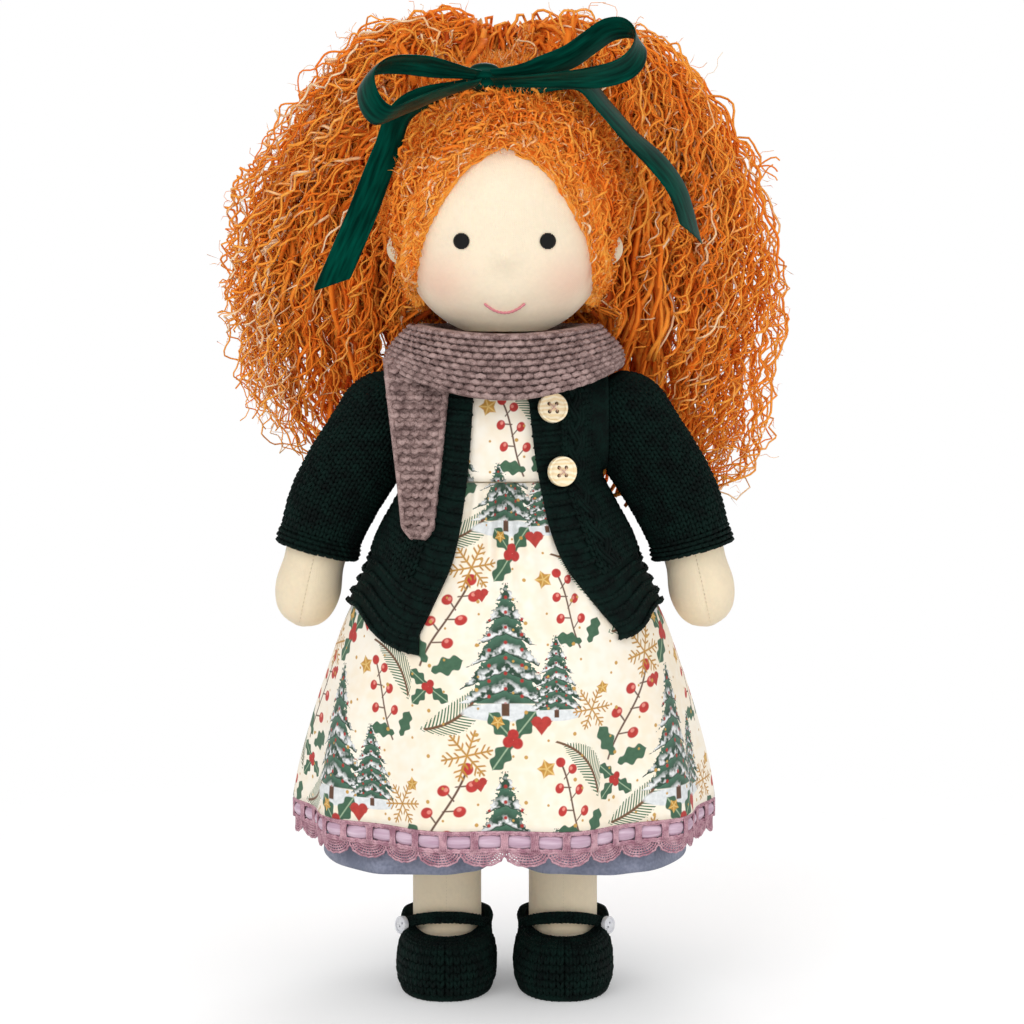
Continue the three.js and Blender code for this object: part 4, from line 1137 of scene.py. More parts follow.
def push_out(points, centre, half):
    """Moves points that lie inside an ellipsoid out to its surface."""
    offset = (points - centre) / half
    reach = np.linalg.norm(offset, axis=-1, keepdims=True)
    return np.where(reach < 1, centre + offset / np.maximum(reach, 0.05) * half, points)


def push_from(points, line, radius):
    """Moves points that lie within a radius of a line out to that radius."""
    for a, b in zip(line[:-1], line[1:]):
        share = np.clip(((points - a) @ (b - a)) / ((b - a) @ (b - a)), 0, 1)[..., None]
        near = a + share * (b - a)
        gap = np.linalg.norm(points - near, axis=-1, keepdims=True)
        away = near + (points - near) / np.maximum(gap, 0.01) * radius
        points = np.where(gap < radius, away, points)
    return points


def arm_line(side, count=13, swing=0.0):
    """An arm's middle line, from the shoulder to the hand, swung back by an angle."""
    axis = catmull([(side * x, 0, z) for x, z in ARM_PATH], count)
    drop = axis[:, 2] - SHOULDER
    return xyz(axis[:, 0], -drop * math.sin(swing), SHOULDER + drop * math.cos(swing))


BODY_CLEARANCE = ((276, 51.0, 42.5), (240, 47.5, 38.0))  # below which height, half-width and half-depth
ARM_CLEARANCE = 21.0
ARM_BACK_SWING = math.radians(10)


def keep_hair_clear(points, bottom, slack=2.0):
    """Holds the hair within its outline, and off the head, ears, scarf, cardigan and sleeves."""
    front, rear = hair_depth(np.clip((points[..., 2] - bottom) / (HAIR_TOP - bottom), 0, 1))
    points = points.copy()
    points[..., 1] = np.clip(points[..., 1], front - slack, rear + slack)
    points[..., 0] = np.clip(points[..., 0], -HAIR_REACH - slack, HAIR_REACH + slack)
    points[..., 2] = np.clip(points[..., 2], bottom - slack * 2, HAIR_TOP + slack)
    centre = np.array([0, 0, HEAD_CENTRE])
    cap = np.array(HEAD_HALF) + CAP_THICKNESS + np.array([0.5, 0.5, CROWN_RISE])
    points = push_out(points, centre, cap)
    flat = points * [1, 1, 0]
    for top, width, depth in BODY_CLEARANCE:
        reach = np.linalg.norm(flat / [width, depth, 1], axis=-1, keepdims=True)
        moved = flat / np.maximum(reach, 0.05) + points * [0, 0, 1]
        points = np.where((points[..., 2:] < top) & (reach < 1), moved, points)
    for side in SIDES.values():
        for swing in (0.0, ARM_BACK_SWING):
            points = push_from(points, arm_line(side, 7, swing), ARM_CLEARANCE)
    outside = np.copysign(np.maximum(np.abs(points[..., 0]), 50.5), points[..., 0])
    points[..., 0] = np.where(over_ear(points), outside, points[..., 0])
    return points


def over_ear(points):
    """True for points that would hide an ear from the front."""
    x, y, z = points[..., 0], points[..., 1], points[..., 2]
    return (((np.abs(x) - 46.5) / 5.0) ** 2 + ((z - EAR_Z) / 9.0) ** 2 < 1) & (y < 6)


def hair_depth(share):
    """The loose hair's front and rear at a share of its height."""
    return hair_front(share) * HAIR_BACK, hair_rear(share) * HAIR_BACK


def form_place(side, share, out, turn, bottom):
    """A point of the loose hair on a form with the solid's squarer corners."""
    front, rear = hair_depth(share)
    x, y = oval(hair_width(share) * HAIR_REACH * out, (rear - front) / 2 * out, turn, HAIR_POWER)
    return np.stack([side * x, (front + rear) / 2 + y, lerp(bottom, HAIR_TOP, share)], -1)


def resample(lines, steps):
    """The same lines as evenly spaced points."""
    even = np.linspace(0, 1, steps)
    made = np.empty((len(lines), steps, 3))
    for i, length in enumerate(run_length(lines)):
        for k in range(3):
            made[i, :, k] = np.interp(even * length[-1], length, lines[i, :, k])
    return made


LOCK_STRANDS = 4
LOCK_SPREAD = 4.6


def lock_lines(draw, locks, side, bottom, out, turns, ends, steps):
    """Strands in locks: they fan out from the tie, run down the hair's form and gather at their tips."""
    root = [side * draw.uniform(8, 36, locks), draw.uniform(-4, 30, locks), draw.uniform(360, 372, locks)]
    root = np.column_stack(root)
    turn = draw.uniform(*turns, locks)
    out = out[0] + (out[1] - out[0]) * draw.uniform(0, 1, locks) ** 0.6
    low = ends[0] + (ends[1] - ends[0]) * draw.uniform(0, 1, locks) ** 1.3
    high = draw.uniform(0.88, 0.975, locks)
    near = draw.uniform(0.4, 1.0, (locks, 1))
    t = np.linspace(0, 1, 14)[None]
    share = high[:, None] + (low - high)[:, None] * t ** draw.uniform(0.9, 1.3, (locks, 1))
    gather = turn[:, None] * (0.75 + 0.25 * t) + draw.normal(0, 0.1, (locks, 1)) * t
    lean = 1 - (0.15 * smooth((share - 0.5) / 0.4) if side < 0 else 0)
    path = form_place(side, share, out[:, None] * lerp(near, 1, t**0.6) * lean, gather, bottom)
    path = path + np.cumsum(draw.normal(0, 0.75, path.shape), 1) * [1, 0.6, 0.5]
    middle = root * [1, 1, 0] + path[:, 0] * [0, 0, 1] + draw.uniform(-9, 0, (locks, 1)) * [0, 0, 1]
    middle = middle * 0.7 + path[:, 0] * 0.3
    lines = np.concatenate([root[:, None], middle[:, None], path], 1)
    smoothed = np.array([catmull(line, 60) for line in lines])
    many = np.repeat(smoothed, LOCK_STRANDS, 0)
    wander = np.cumsum(draw.normal(0, 1, (len(many), 12, 3)), 1) * LOCK_SPREAD / 6
    along = np.linspace(0, 1, 60)
    wander = np.array([between(path, along) for path in wander])
    wander = wander + draw.normal(0, LOCK_SPREAD / 3, (len(many), 1, 3))
    return resample(many + wander * (1.15 - 0.9 * along**2.5)[None, :, None], steps)


def strand_tones_and_shade(draw, lines, base=0.45):
    """A tone for each point: strands differ at random and drift along their length, points further in towards
    the head are darker as painted shade, and tones rise a little from root to tip.
    """
    n, m = lines.shape[:2]
    own = draw.normal(0, 0.15, (n, 1)) + np.where(draw.uniform(0, 1, (n, 1)) < 0.06, 0.4, 0)
    share = np.clip((lines[..., 2] - 200) / 198.5, 0, 1)
    # Painted shade: out is how far out a point lies, and points further in are darker
    out = np.abs(lines[..., 0]) / (hair_width(share) * HAIR_REACH)
    drift = 0.1 * np.sin(np.linspace(0, 9, m)[None] + draw.uniform(0, 6, (n, 1)))
    tone = base + own + drift + 0.16 * (out - 0.7) + 0.08 * np.linspace(-1, 1, m) ** 3
    return np.clip(tone, 0, 1)[..., None]


def curl(lines, draw, bottom):
    """Crimps strands as boucle yarn is crimped: tight waves on a loose wander."""
    lines = keep_hair_clear(crimp(lines, draw, 2.6, 27.0, 0.4), bottom, 1.0)
    return keep_hair_clear(crimp(lines, draw, sizes().curl / MM, sizes().wave / MM, 0.3), bottom, 3.0)


# Each layer of a bunch: its locks, how far out they lie, their turns, where they end, the steps of a strand
LAYERS = {
    "front": [38, (0.6, 1.0), (-1.5, -0.2), (0.0, 0.65), 110],
    "side": [32, (0.8, 1.02), (-0.6, 0.75), (0.0, 0.84), 100],
    "back": [16, (0.8, 1.0), (0.5, 1.52), (0.02, 0.5), 74],
    "inner": [50, (0.3, 0.86), (-1.4, 1.4), (0.02, 0.36), 38],
}


def settle_hair(shape, name, *nodes):
    """Finishes a shape as a piece of the wig."""
    settle(shape.piece(name, wig_yarn("wig_yarn")), "torso", "wig_yarn", *nodes)


def bunch(name, layer, side, bottom, seed, *nodes):
    """One layer of a bunch of hair. It gives back its strands."""
    locks, out, turns, ends, steps = LAYERS[layer]
    draw = np.random.default_rng(seed)
    lines = lock_lines(draw, locks, side, bottom, out, turns, ends, steps)
    core = layer == "inner"
    if core:
        lines = keep_hair_clear(crimp(lines, draw, 2.6, 30.0, 0.2), bottom)
    else:
        lines = curl(lines, draw, bottom)
    # The inner layer's low base tone of 0.32 is painted shade in the depths of the bunch
    thick, base = (2.3, 0.32) if core else (1, 0.55)
    radii = thick * sizes().strand / MM * draw.uniform(0.7, 1.3, (len(lines), 1))
    radii = radii * (1 - 0.4 * np.linspace(0, 1, steps)[None] ** 3)
    settle_hair(Shape().tubes(lines, radii, 3, strand_tones_and_shade(draw, lines, base)), name, *nodes)
    return lines


def fibres(shape, draw, at, reach, steps, curl_by, radius, tones):
    """Adds fine stray fibres that curl off the strands at the points of at."""
    count = len(at)
    way = unit(draw.normal(0, 1, (count, 3)) * [1, 0.8, 1])
    far = draw.uniform(*reach, (count, 1))
    b, c, d = (at + way * far * k + draw.normal(0, 0.18, (count, 3)) * far * k for k in (0.35, 0.7, 1))
    lines = keep_hair_clear(crimp(bezier(at, b, c, d, steps), draw, curl_by, 6.0), 195.0, 3.0)
    tone = np.repeat(draw.uniform(*tones, (count, 1)), steps, 1)[..., None]
    return shape.tubes(lines, np.full(steps, radius), 3, tone)


def fluff(shape, draw, strands, count, reach, tones, radius=0.16):
    """Adds the short fluff that makes each strand soft, which lies mostly along it."""
    strand, step = draw.integers(0, len(strands), count), draw.integers(3, strands.shape[1] - 4, count)
    foot, ahead = strands[strand, step], strands[strand, step + 3]
    way = unit(unit(ahead - foot) * draw.uniform(0, 1.4, (count, 1)) + draw.normal(0, 0.6, (count, 3)))
    far = draw.uniform(*reach, (count, 1))
    middle = foot + way * far * 0.5 + draw.normal(0, 0.22, (count, 3)) * far
    return shape.spindles(foot, middle, foot + way * far, radius, draw.uniform(*tones, count))


def frizz(name, layers, seed):
    """The halo of a bunch: long stray hairs, and the fluff of its strands."""
    draw = np.random.default_rng(seed)
    shape = Shape()
    for lines in layers:
        at = lines[draw.integers(0, len(lines), 130), draw.integers(6, lines.shape[1], 130)]
        fibres(shape, draw, at, (6, 18), 10, 0.8, 0.13, (0.5, 1.0))
        fluff(shape, draw, lines, 5600, (2.0, 6.5), (0.3, 0.85))
    settle_hair(shape, name)


def model_bunches():
    for name, side in SIDES.items():
        bottom = HAIR_ENDS[name]
        lines = [bunch(f"bunch_{name}_front", "front", side, bottom, 11 + side, f"hair_bunch_{name}")]
        for seed, layer in ((21, "side"), (31, "back"), (41, "inner")):
            lines.append(bunch(f"bunch_{name}_{layer}", layer, side, bottom, seed + side))
        frizz(f"bunch_{name}_frizz", lines[:3], 51 + side)


def model_back_hair():
    """The hair that hangs down the back, between the two bunches."""
    draw = np.random.default_rng(61)
    bottom = HAIR_ENDS["back"]
    count, steps = 130, 80
    across = draw.uniform(-40, 40, count)
    t = np.linspace(0, 1, 12)[None]
    low = 0.02 + 0.25 * draw.uniform(0, 1, count) ** 1.6
    share = 0.97 + (low[:, None] - 0.97) * t
    depth = draw.uniform(0.7, 1.0, (count, 1))
    y = hair_rear(share) * HAIR_BACK * depth
    path = np.stack([across[:, None] * (0.72 + 0.28 * t), y, lerp(bottom, HAIR_TOP, share)], -1)
    root = np.column_stack([across * 0.6, draw.uniform(0, 12, count), draw.uniform(366, 378, count)])
    lines = np.array([catmull(line, 50) for line in np.concatenate([root[:, None], path], 1)])
    lines = curl(resample(lines + draw.normal(0, 1.5, (count, 1, 3)), steps), draw, bottom)
    radii = draw.uniform(0.65, 1.0, (count, 1)) * np.linspace(1, 0.6, steps)[None]
    settle_hair(Shape().tubes(lines, radii, 3, strand_tones_and_shade(draw, lines, 0.42)), "back_hair", "hair_back")


def model_crown_hair():
    """Tufts of curls that stand on the crown, behind the bow."""
    draw = np.random.default_rng(71)
    tufts, each, steps = 26, 7, 34
    x = np.linspace(-36, 36, tufts) + draw.normal(0, 1.5, tufts)
    root = np.column_stack([x, draw.uniform(-6, 34, tufts), 366.0 - np.abs(x) * 0.1])
    way = [x / 34 + draw.normal(0, 0.25, tufts), (root[:, 1] - 12) / 40, draw.uniform(0.8, 1.2, tufts)]
    way = unit(np.column_stack(way))
    reach = draw.uniform(17, 35, (tufts, 1)) * (1 - 0.45 * np.exp(-(((x[:, None] - 2) / 6) ** 2)))
    root, way, reach = (np.repeat(value, each, 0) for value in (root, way, reach))
    root = root + draw.normal(0, 2.6, root.shape)
    reach = reach * draw.uniform(0.7, 1.05, reach.shape)
    ends = [root + way * reach * k + draw.normal(0, loose, root.shape) for k, loose in ((0.8, 3.4), (1, 1.8))]
    lines = bezier(root, root + way * reach * 0.4 + draw.normal(0, 2.5, root.shape), *ends, steps)
    lines = keep_hair_clear(crimp(lines, draw, 1.3, 7.5, 0.5), HAIR_ENDS["back"], 1.5)
    radii = draw.uniform(0.5, 0.85, (len(lines), 1)) * np.linspace(1, 0.6, steps)[None]
    shape = Shape().tubes(lines, radii, 3, strand_tones_and_shade(draw, lines, 0.62))
    at = lines[draw.integers(0, len(lines), 150), draw.integers(4, steps, 150)]
    fibres(shape, draw, at, (3, 9), 7, 0.5, 0.13, (0.5, 1.0))
    settle_hair(fluff(shape, draw, lines, 4400, (2, 6), (0.45, 1.0)), "crown_hair", "hair_crown")


HAIRLINE_SHARES = [[-0.6, 1], [0.12, 1], [0.42, 0.93], [0.68, 0.71], [0.91, 0.36], [1, 0]]
hairline_width = share_curve(HAIRLINE_SHARES)


def beside_ear(points):
    """How close points lie to an ear, from 0 to 1."""
    return np.exp(-(((points[..., 2] - EAR_Z + 2) / 10) ** 2)) * smooth((np.abs(points[..., 0]) - 30) / 12)


def cap_edge(angle):
    """The lowest height of the wig cap at each angle round the head: the hairline, the ears and the nape."""
    z = np.linspace(NAPE, HAIRLINE_TOP, 240)
    w, d = head_at(z, CAP_THICKNESS)
    share = (z - NAPE) / (HAIRLINE_TOP - NAPE)
    edge = np.full(np.shape(angle), NAPE)
    for i, a in enumerate(angle):
        x, y = oval(w, d, a)
        bare = (y < 0) & (np.abs(x) < HAIRLINE_HALF * hairline_width(share))
        bare |= (np.abs(y) < 6) & (z < 310)
        edge[i] = z[bare].max() if bare.any() else NAPE
    wide = np.concatenate([edge[-3:], edge, edge[:3]])
    return np.convolve(wide, np.ones(7) / 7, "valid")


cap_angles = circle(240)
cap_edges = cap_edge(cap_angles)
CAP_RISE = HEAD_HALF[2] + CAP_THICKNESS + CROWN_RISE


def cap_point(angle, share, lift=0.0):
    """A point on the wig cap, from its edge at share 0 to the crown at share 1."""
    edge = np.interp(angle % math.tau, cap_angles, cap_edges, period=math.tau)
    start = np.arccos(np.clip((edge - HEAD_CENTRE) / CAP_RISE, -1, 1))
    z = HEAD_CENTRE + CAP_RISE * np.cos(start * (1 - share))
    point = xyz(*oval(*head_at(z, CAP_THICKNESS, CROWN_RISE), angle), z)
    away = unit(point - [0, 0, HEAD_CENTRE])
    return point + away * (np.asarray(lift) - 2.6 * beside_ear(point))[..., None]


def hairline_strands(draw, count, steps, side):
    """Smooth strands that run along the edge of the cap, from the parting down beside the cheeks."""
    start = draw.uniform(-0.04, 0.86, (count, 1))
    place = start + draw.uniform(0.25, 0.5, (count, 1)) * np.linspace(0, 1, steps)[None]
    place = np.minimum(place, 1.06)
    z = lerp(HAIRLINE_TOP, NAPE + 2, place)
    across = HAIRLINE_HALF * hairline_width((z - NAPE) / (HAIRLINE_TOP - NAPE))
    x = side * np.where(place < 0, 0.0, across)
    off = -1.0 + 12.5 * draw.uniform(0, 1, (count, 1)) ** 1.2
    off = off + 1.1 * np.sin(place * 9 + draw.uniform(0, 6, (count, 1)))
    off = off * (1 - 0.5 * np.exp(-(((z - EAR_Z) / 11) ** 2)))
    centre = np.array([0, 0, HEAD_CENTRE])
    base = np.stack([x, face_y(x, z), z], -1)
    outward = unit(base - [0, -34, 298])
    point = base + outward * off[..., None]
    half = np.array(HEAD_HALF)
    grow = 0.7 + 3.6 * smooth(off / 5)[..., None] + draw.uniform(-0.3, 0.8, (count, 1, 1))
    return centre + unit((point - centre) / half) * (half + grow)


def model_cap():
    angle, share = circle(84)[None], np.linspace(0, 1, 26)[:, None]
    points = cap_point(angle, lerp(0.055, 0.995, share), -1.2 - 1.4 * (1 - smooth(share * 9)) + 0 * angle)
    # The cap's low tone of 0.3 paints it dark, as painted shade under the strands
    settle_hair(Shape().skin(points, 1.6, loop=True, tone=0.3), "wig_cap", "hair_cap")
    draw = np.random.default_rng(51)
    model_fleece(draw)
    model_fuzz(draw)


def model_fleece(draw):
    """The brushed strands that lie on the cap, and those along its edge."""
    count, steps = 1200, 15
    angle = draw.uniform(0, math.tau, count)
    share = 0.93 * draw.uniform(0, 1, count) ** 1.5
    rise = draw.uniform(0.1, 0.22, count)
    drift = draw.normal(0, 0.3, count)
    t = np.linspace(0, 1, steps)[None]
    lift = 3.6 * np.sin(t * math.pi) * draw.uniform(0.2, 1.0, (count, 1)) * smooth(share * 9)[:, None] - 0.4
    turn, climb = angle[:, None] + drift[:, None] * t, np.minimum(share[:, None] + rise[:, None] * t, 0.99)
    lines = cap_point(turn, climb, lift * (1 - 0.8 * beside_ear(cap_point(turn, climb))))
    lines = crimp(lines, draw, 1.1, 6.5, 0.2)
    tone = 0.45 + draw.normal(0, 0.16, (count, 1)) + np.where(share < 0.06, 0.2, 0)[:, None]
    tone = np.clip(tone + 0 * t, 0, 1)
    radii = draw.uniform(0.45, 0.8, (count, 1)) * np.sin(np.clip(t, 0.08, 0.92) * math.pi) ** 0.4
    shown = ~(over_ear(lines) & (np.abs(lines[..., 1]) < 6)).any(1)
    shape = Shape().tubes(lines[shown], radii[shown], 3, tone[shown][..., None])
    for side in SIDES.values():
        count, steps = 330, 15
        strands = crimp(hairline_strands(draw, count, steps, side), draw, 0.6, 7.0, 0.1)
        tone = np.clip(0.66 + draw.normal(0, 0.1, (count, 1, 1)) + np.zeros((1, steps, 1)), 0, 1)
        shape.tubes(strands, draw.uniform(0.35, 0.7, (count, 1)) * np.ones((1, steps)), 3, tone)
    settle_hair(shape, "wig_fleece")


def model_fuzz(draw):
    """The fine halo of fibres all over the cap."""
    count = 13000
    angle, share = draw.uniform(0, math.tau, count), 0.97 * draw.uniform(0, 1, count) ** 1.3
    foot = cap_point(angle, share, draw.uniform(-0.5, 2.4, count) * smooth(share * 8 + 0.15))
    out = unit(foot - [0, 0, HEAD_CENTRE])
    way = unit(out * draw.uniform(0.0, 1.0, (count, 1)) + draw.normal(0, 0.6, (count, 3)))
    far = draw.uniform(2, 7.5, (count, 1)) * (0.35 + 0.65 * smooth(share * 6))[:, None]
    far = far * (1 - 0.75 * beside_ear(foot))[:, None]
    middle = foot + way * far * 0.5 + draw.normal(0, 0.15, (count, 3)) * far
    tip, tone = foot + way * far, draw.uniform(0.3, 0.95, count) ** 1.2
    shown = ~((over_ear(foot) | over_ear(tip)) & (np.abs(foot[:, 1]) < 6))
    settle_hair(Shape().spindles(foot[shown], middle[shown], tip[shown], 0.19, tone[shown]), "wig_fuzz")


# The bow. Each strip of ribbon runs through shares of its own reach and height, measured from the knot.
KNOT = np.array([-8.0, -28.0, 369.0])
KNOT_HALF = (6.5, 5.2, 5.6)
RIBBON_THICKNESS = 0.5
LOOP_PLANE = -33.2  # how far forward the loops' middle lines lie
LEFT_LOOP = [
    [0.05, 0.02],
    [0.31, 0.1],
    [0.61, 0.2],
    [0.87, 0.16],
    [1, -0.12],
    [0.97, -0.56],
    [0.84, -0.82],
    [0.6, -0.6],
    [0.33, -0.34],
    [0.05, -0.14],
]
RIGHT_LOOP = [
    [0.05, 0.03],
    [0.25, 0.08],
    [0.39, 0.18],
    [0.54, 0.36],
    [0.67, 0.64],
    [0.79, 0.88],
    [0.91, 0.9],
    [0.98, 0.68],
    [0.96, 0.34],
    [0.86, 0.08],
    [0.67, -0.06],
    [0.4, -0.1],
    [0.05, -0.12],
]
LOOPS = {  # reach and height, the way the ribbon's width points, and the path
    "loop_left": [(-45.5, 20), (0.6, -0.52, 0.6), LEFT_LOOP],
    "loop_right": [(62, 20), (-0.42, -0.62, 0.66), RIGHT_LOOP],
}
LEFT_TAIL = [[0.06, 0.02, 35], [0.5, 0.14, 50], [0.64, 0.36, 62], [0.8, 0.66, 78], [1, 1, 95]]
RIGHT_TAIL = [
    [0.04, 0.02, 60],
    [0.2, 0.04, 50],
    [0.46, 0.02, 40],
    [0.6, 0.19, 36],
    [0.73, 0.38, 38],
    [0.86, 0.54, 46],
    [0.96, 0.72, 44],
    [1.03, 1.0, 36],
]
TAILS = {  # reach and height, the slant of the cut end, and a path with the turn of the ribbon's face
    "tail_left": [(-61, -82), -11.0, LEFT_TAIL],
    "tail_right": [(80, -62), 11.0, RIGHT_TAIL],
}


def ribbon_strip(name, line, wide, narrow, slant, cloth):
    """A strip of ribbon along a line. wide points across it, and slant lengthens one corner of its end."""
    count = len(line)
    width = sizes().ribbon / MM
    along = unit(np.gradient(line, axis=0))
    face = unit(np.cross(along, wide))
    u = np.linspace(-0.5, 0.5, 9)[:, None, None]
    grid = line[None] + wide[None] * (u * width * narrow[None, :, None]) + face[None] * (0.7 * (1 - 4 * u**2))
    grid = grid + along[None] * (slant * u * np.linspace(0, 1, count)[None, :, None] ** 8)
    length = run_length(line)
    uv = np.stack(np.broadcast_arrays(length[None], u[:, 0] * width), -1)
    piece = Shape().skin(grid, RIBBON_THICKNESS, uv=uv).piece(f"bow_{name}", cloth, 1)
    settle(piece, "torso", "satin_green", f"hair_ribbon_{name}")


def model_bow():
    cloth = satin("satin_green", colours().satin_dark, colours().satin)
    model_knot(cloth)
    for name, (reach, wide, shares) in LOOPS.items():
        table = np.array(shares)
        steps = len(table) * 9
        x, z = table[:, 0] * reach[0], table[:, 1] * reach[1]
        y = LOOP_PLANE - KNOT[1] + 0.3 * (wide[0] * x + wide[2] * z) / -wide[1]
        line = catmull(KNOT + xyz(x, y, z), steps)
        ends = np.linspace(0, 1, steps)
        narrow = lerp(0.5, 1, smooth(ends * 5)) * lerp(0.5, 1, smooth((1 - ends) * 5))
        ribbon_strip(name, line, np.tile(unit(np.array(wide)), (steps, 1)), narrow, 0.0, cloth)
    for name, (reach, slant, rows) in TAILS.items():
        table = np.array(rows, float)
        steps = len(table) * 10
        line = catmull(KNOT + xyz(table[:, 0] * reach[0], 2.6, table[:, 1] * reach[1]), steps)
        place = np.linspace(0, len(table) - 1, steps)
        turn = np.radians(np.interp(place, np.arange(len(table)), table[:, 2]))[:, None]
        line = over_cap(line, 2.0 + 5.0 * np.cos(turn[:, 0]))
        along = unit(np.gradient(line, axis=0))
        deep = np.array([0, 1.0, 0])
        deep = unit(deep - along * (along @ deep)[:, None])
        wide = deep * np.cos(turn) + np.cross(along, deep) * np.sin(turn)
        narrow = lerp(0.55, 1, smooth(np.linspace(0, 5, steps)))
        ribbon_strip(name, line, wide, narrow, slant, cloth)


def over_cap(line, lift):
    """Moves a line in front of the wig cap where it would run into it."""
    w, d = head_at(line[:, 2], CAP_THICKNESS, CROWN_RISE)
    cover = -d * np.sqrt(np.clip(1 - (line[:, 0] / np.maximum(w, 1)) ** 2, 0, 1)) - lift
    line = line.copy()
    line[:, 1] = np.minimum(line[:, 1], np.where(np.abs(line[:, 0]) < w, cover, line[:, 1]))
    return line


def model_knot(cloth):
    angle = circle(40)[None]
    t = np.linspace(-1, 1, 25)[:, None]
    ring = np.sqrt(1 - (t * 0.995) ** 2) ** 0.6
    crease = ring * (1 + 0.06 * np.sin(angle * 7))
    x = KNOT[0] + KNOT_HALF[0] * t
    y = KNOT[1] + KNOT_HALF[1] * np.cos(angle) * crease
    z = KNOT[2] + KNOT_HALF[2] * np.sin(angle) * crease
    uv = np.stack(np.broadcast_arrays(t * 6, angle * 5), -1)
    knot = Shape().skin(xyz(x, y, z), loop=True, uv=uv).piece("bow_knot", cloth)
    settle(knot, "torso", "satin_green", "hair_ribbon_knot")


# The body
def limb_frame(axis):
    """Directions along, to the front and aside at each point of a limb's middle line."""
    along = unit(np.gradient(axis, axis=0))
    front = np.array([0, -1.0, 0])
    front = unit(front - along * (along @ front)[:, None])
    return along, front, np.cross(along, front)


def limb_surface(axis, radii, columns):
    """Rings of points about an axis. Angle 0 points to the front."""
    _, front, aside = limb_frame(axis)
    angle = circle(columns)
    ring = front[:, None] * np.cos(angle)[:, None] + aside[:, None] * np.sin(angle)[:, None]
    return axis[:, None] + ring * radii[:, None, None], angle


NECK_RADIUS = 14.5
NECK_RINGS = (TORSO_TOP + 0.5, 262.0, 267.6)
SHOULDER_BAR = 11.0  # radius of the stuffing between the two shoulders


def model_torso():
    z = lerp(HIP, TORSO_TOP, np.linspace(0, 1, 60))[:, None]
    angle = circle(72)[None]
    trunk = xyz(*oval(*torso_at(z), angle, TORSO_POWER), z)
    neck = [xyz(*oval(NECK_RADIUS, NECK_RADIUS, angle), height) for height in NECK_RINGS]
    shape = Shape().skin(np.concatenate([trunk, *neck]), loop=True)
    reach = SHOULDER_PLANE - 0.4
    x = np.linspace(-reach, reach, 30)
    radius = SHOULDER_BAR * np.minimum(1, (reach + 0.6 - np.abs(x)) * 1.2) ** 0.5
    shape.skin(limb_surface(xyz(x, 0, SHOULDER), radius, 32)[0], loop=True)
    torso = shape.piece("torso_stuffed", jersey("skin_jersey"))
    settle(torso, "torso", "skin_jersey", "torso")


def seam_groove(angle):
    """1 along a limb's front seam, which lies at angle 0, and 0 away from it."""
    return np.exp(-((((angle + math.pi) % math.tau - math.pi) / 0.1) ** 2))


def model_arms():
    cloth = jersey("skin_jersey")
    for name, side in SIDES.items():
        axis = arm_line(side, 90)
        share = np.linspace(0, 1, 90)
        radii = arm_radius(share)
        points, angle = limb_surface(axis, radii, 48)
        points = axis[:, None] + (points - axis[:, None]) * (1 - 0.035 * seam_groove(angle)[:, None])
        ball = points[0] - axis[0]
        back = unit(axis[1] - axis[0]) * ARM_RADII[0][1]
        turns = np.linspace(0.1, math.pi / 2, 12)[:-1]
        root = [axis[0] + ball * math.sin(turn) - back * math.cos(turn) for turn in turns]
        points = np.concatenate([root, points])
        points[..., 0] = side * np.maximum(points[..., 0] * side, SHOULDER_PLANE + 0.3)
        arm = Shape().skin(points, loop=True).piece(f"arm_stuffed_{name}", cloth)
        settle(arm, f"arm_{name}", "skin_jersey", f"arm_{name}")
        stitches(f"arm_{name}_seam", axis[52:88], radii[52:88], f"arm_{name}")


def stitches(name, axis, radii, body):
    """A line of small running stitches down the front of a limb."""
    places = catmull(limb_surface(axis, radii * 0.97, 8)[0][:, 0], 91)
    threads = np.stack([places[0:89:4], places[1:90:4], places[2:91:4]], 1)
    threads[:, 1] += [0, -0.12, 0]
    material = thread("seam_thread", colours().seam_thread)
    seam = Shape().tubes(threads, np.full(3, 0.16), 4).piece(name, material)
    settle(seam, body, "skin_jersey")


LEG_TOP = HIP - 0.8


def leg_at(z):
    """Half-width and half-depth of a leg, which narrows to its flat seam at the top."""
    drop = np.clip((LEG_TOP - z) / 21, 0, 1)
    return lerp(12.0, LEG_RADIUS, smooth(drop)), lerp(1.1, LEG_RADIUS, drop**0.75)


foot_swell = share_curve(FOOT_SHARES)


def foot_outline(angle, share, grow=0.0):
    """The foot's outline at a share of its height, about the leg's middle, grow millimetres further out."""
    swell = foot_swell(share)
    length = ((FOOT_HEEL + FOOT_TOE) / 2 + grow) * lerp(1, swell, 0.8)
    x, y = oval((FOOT_HALF + grow) * swell, length, angle, FOOT_POWER)
    return x, y + (FOOT_HEEL - FOOT_TOE) / 2


def model_legs():
    cloth = jersey("skin_jersey")
    for name, side in SIDES.items():
        z = np.linspace(SOLE + FOOT_HEIGHT / 2, LEG_TOP, 70)[:, None]
        angle = circle(40)[None]
        x, y = oval(*leg_at(z), angle)
        y = y + 0.35 * seam_groove(angle + math.pi / 2)
        shape = Shape().skin(xyz(side * LEG_X + x, y, z), loop=True)
        share = np.linspace(0, 1, 18)[:, None]
        x, y = foot_outline(circle(48)[None], share)
        foot = xyz(side * LEG_X + x, y, lerp(SOLE + 0.3, SOLE + FOOT_HEIGHT, share))
        leg = shape.skin(foot, loop=True).piece(f"leg_stuffed_{name}", cloth)
        modify(leg, "REMESH", mode="VOXEL", voxel_size=1.6 * MM, use_smooth_shade=True)
        settle(leg, f"leg_{name}", "skin_jersey", f"leg_{name}")
        line = xyz(side * LEG_X, 0, np.linspace(30, 60, 40))
        stitches(f"leg_{name}_seam", line, np.full(40, LEG_RADIUS), f"leg_{name}")


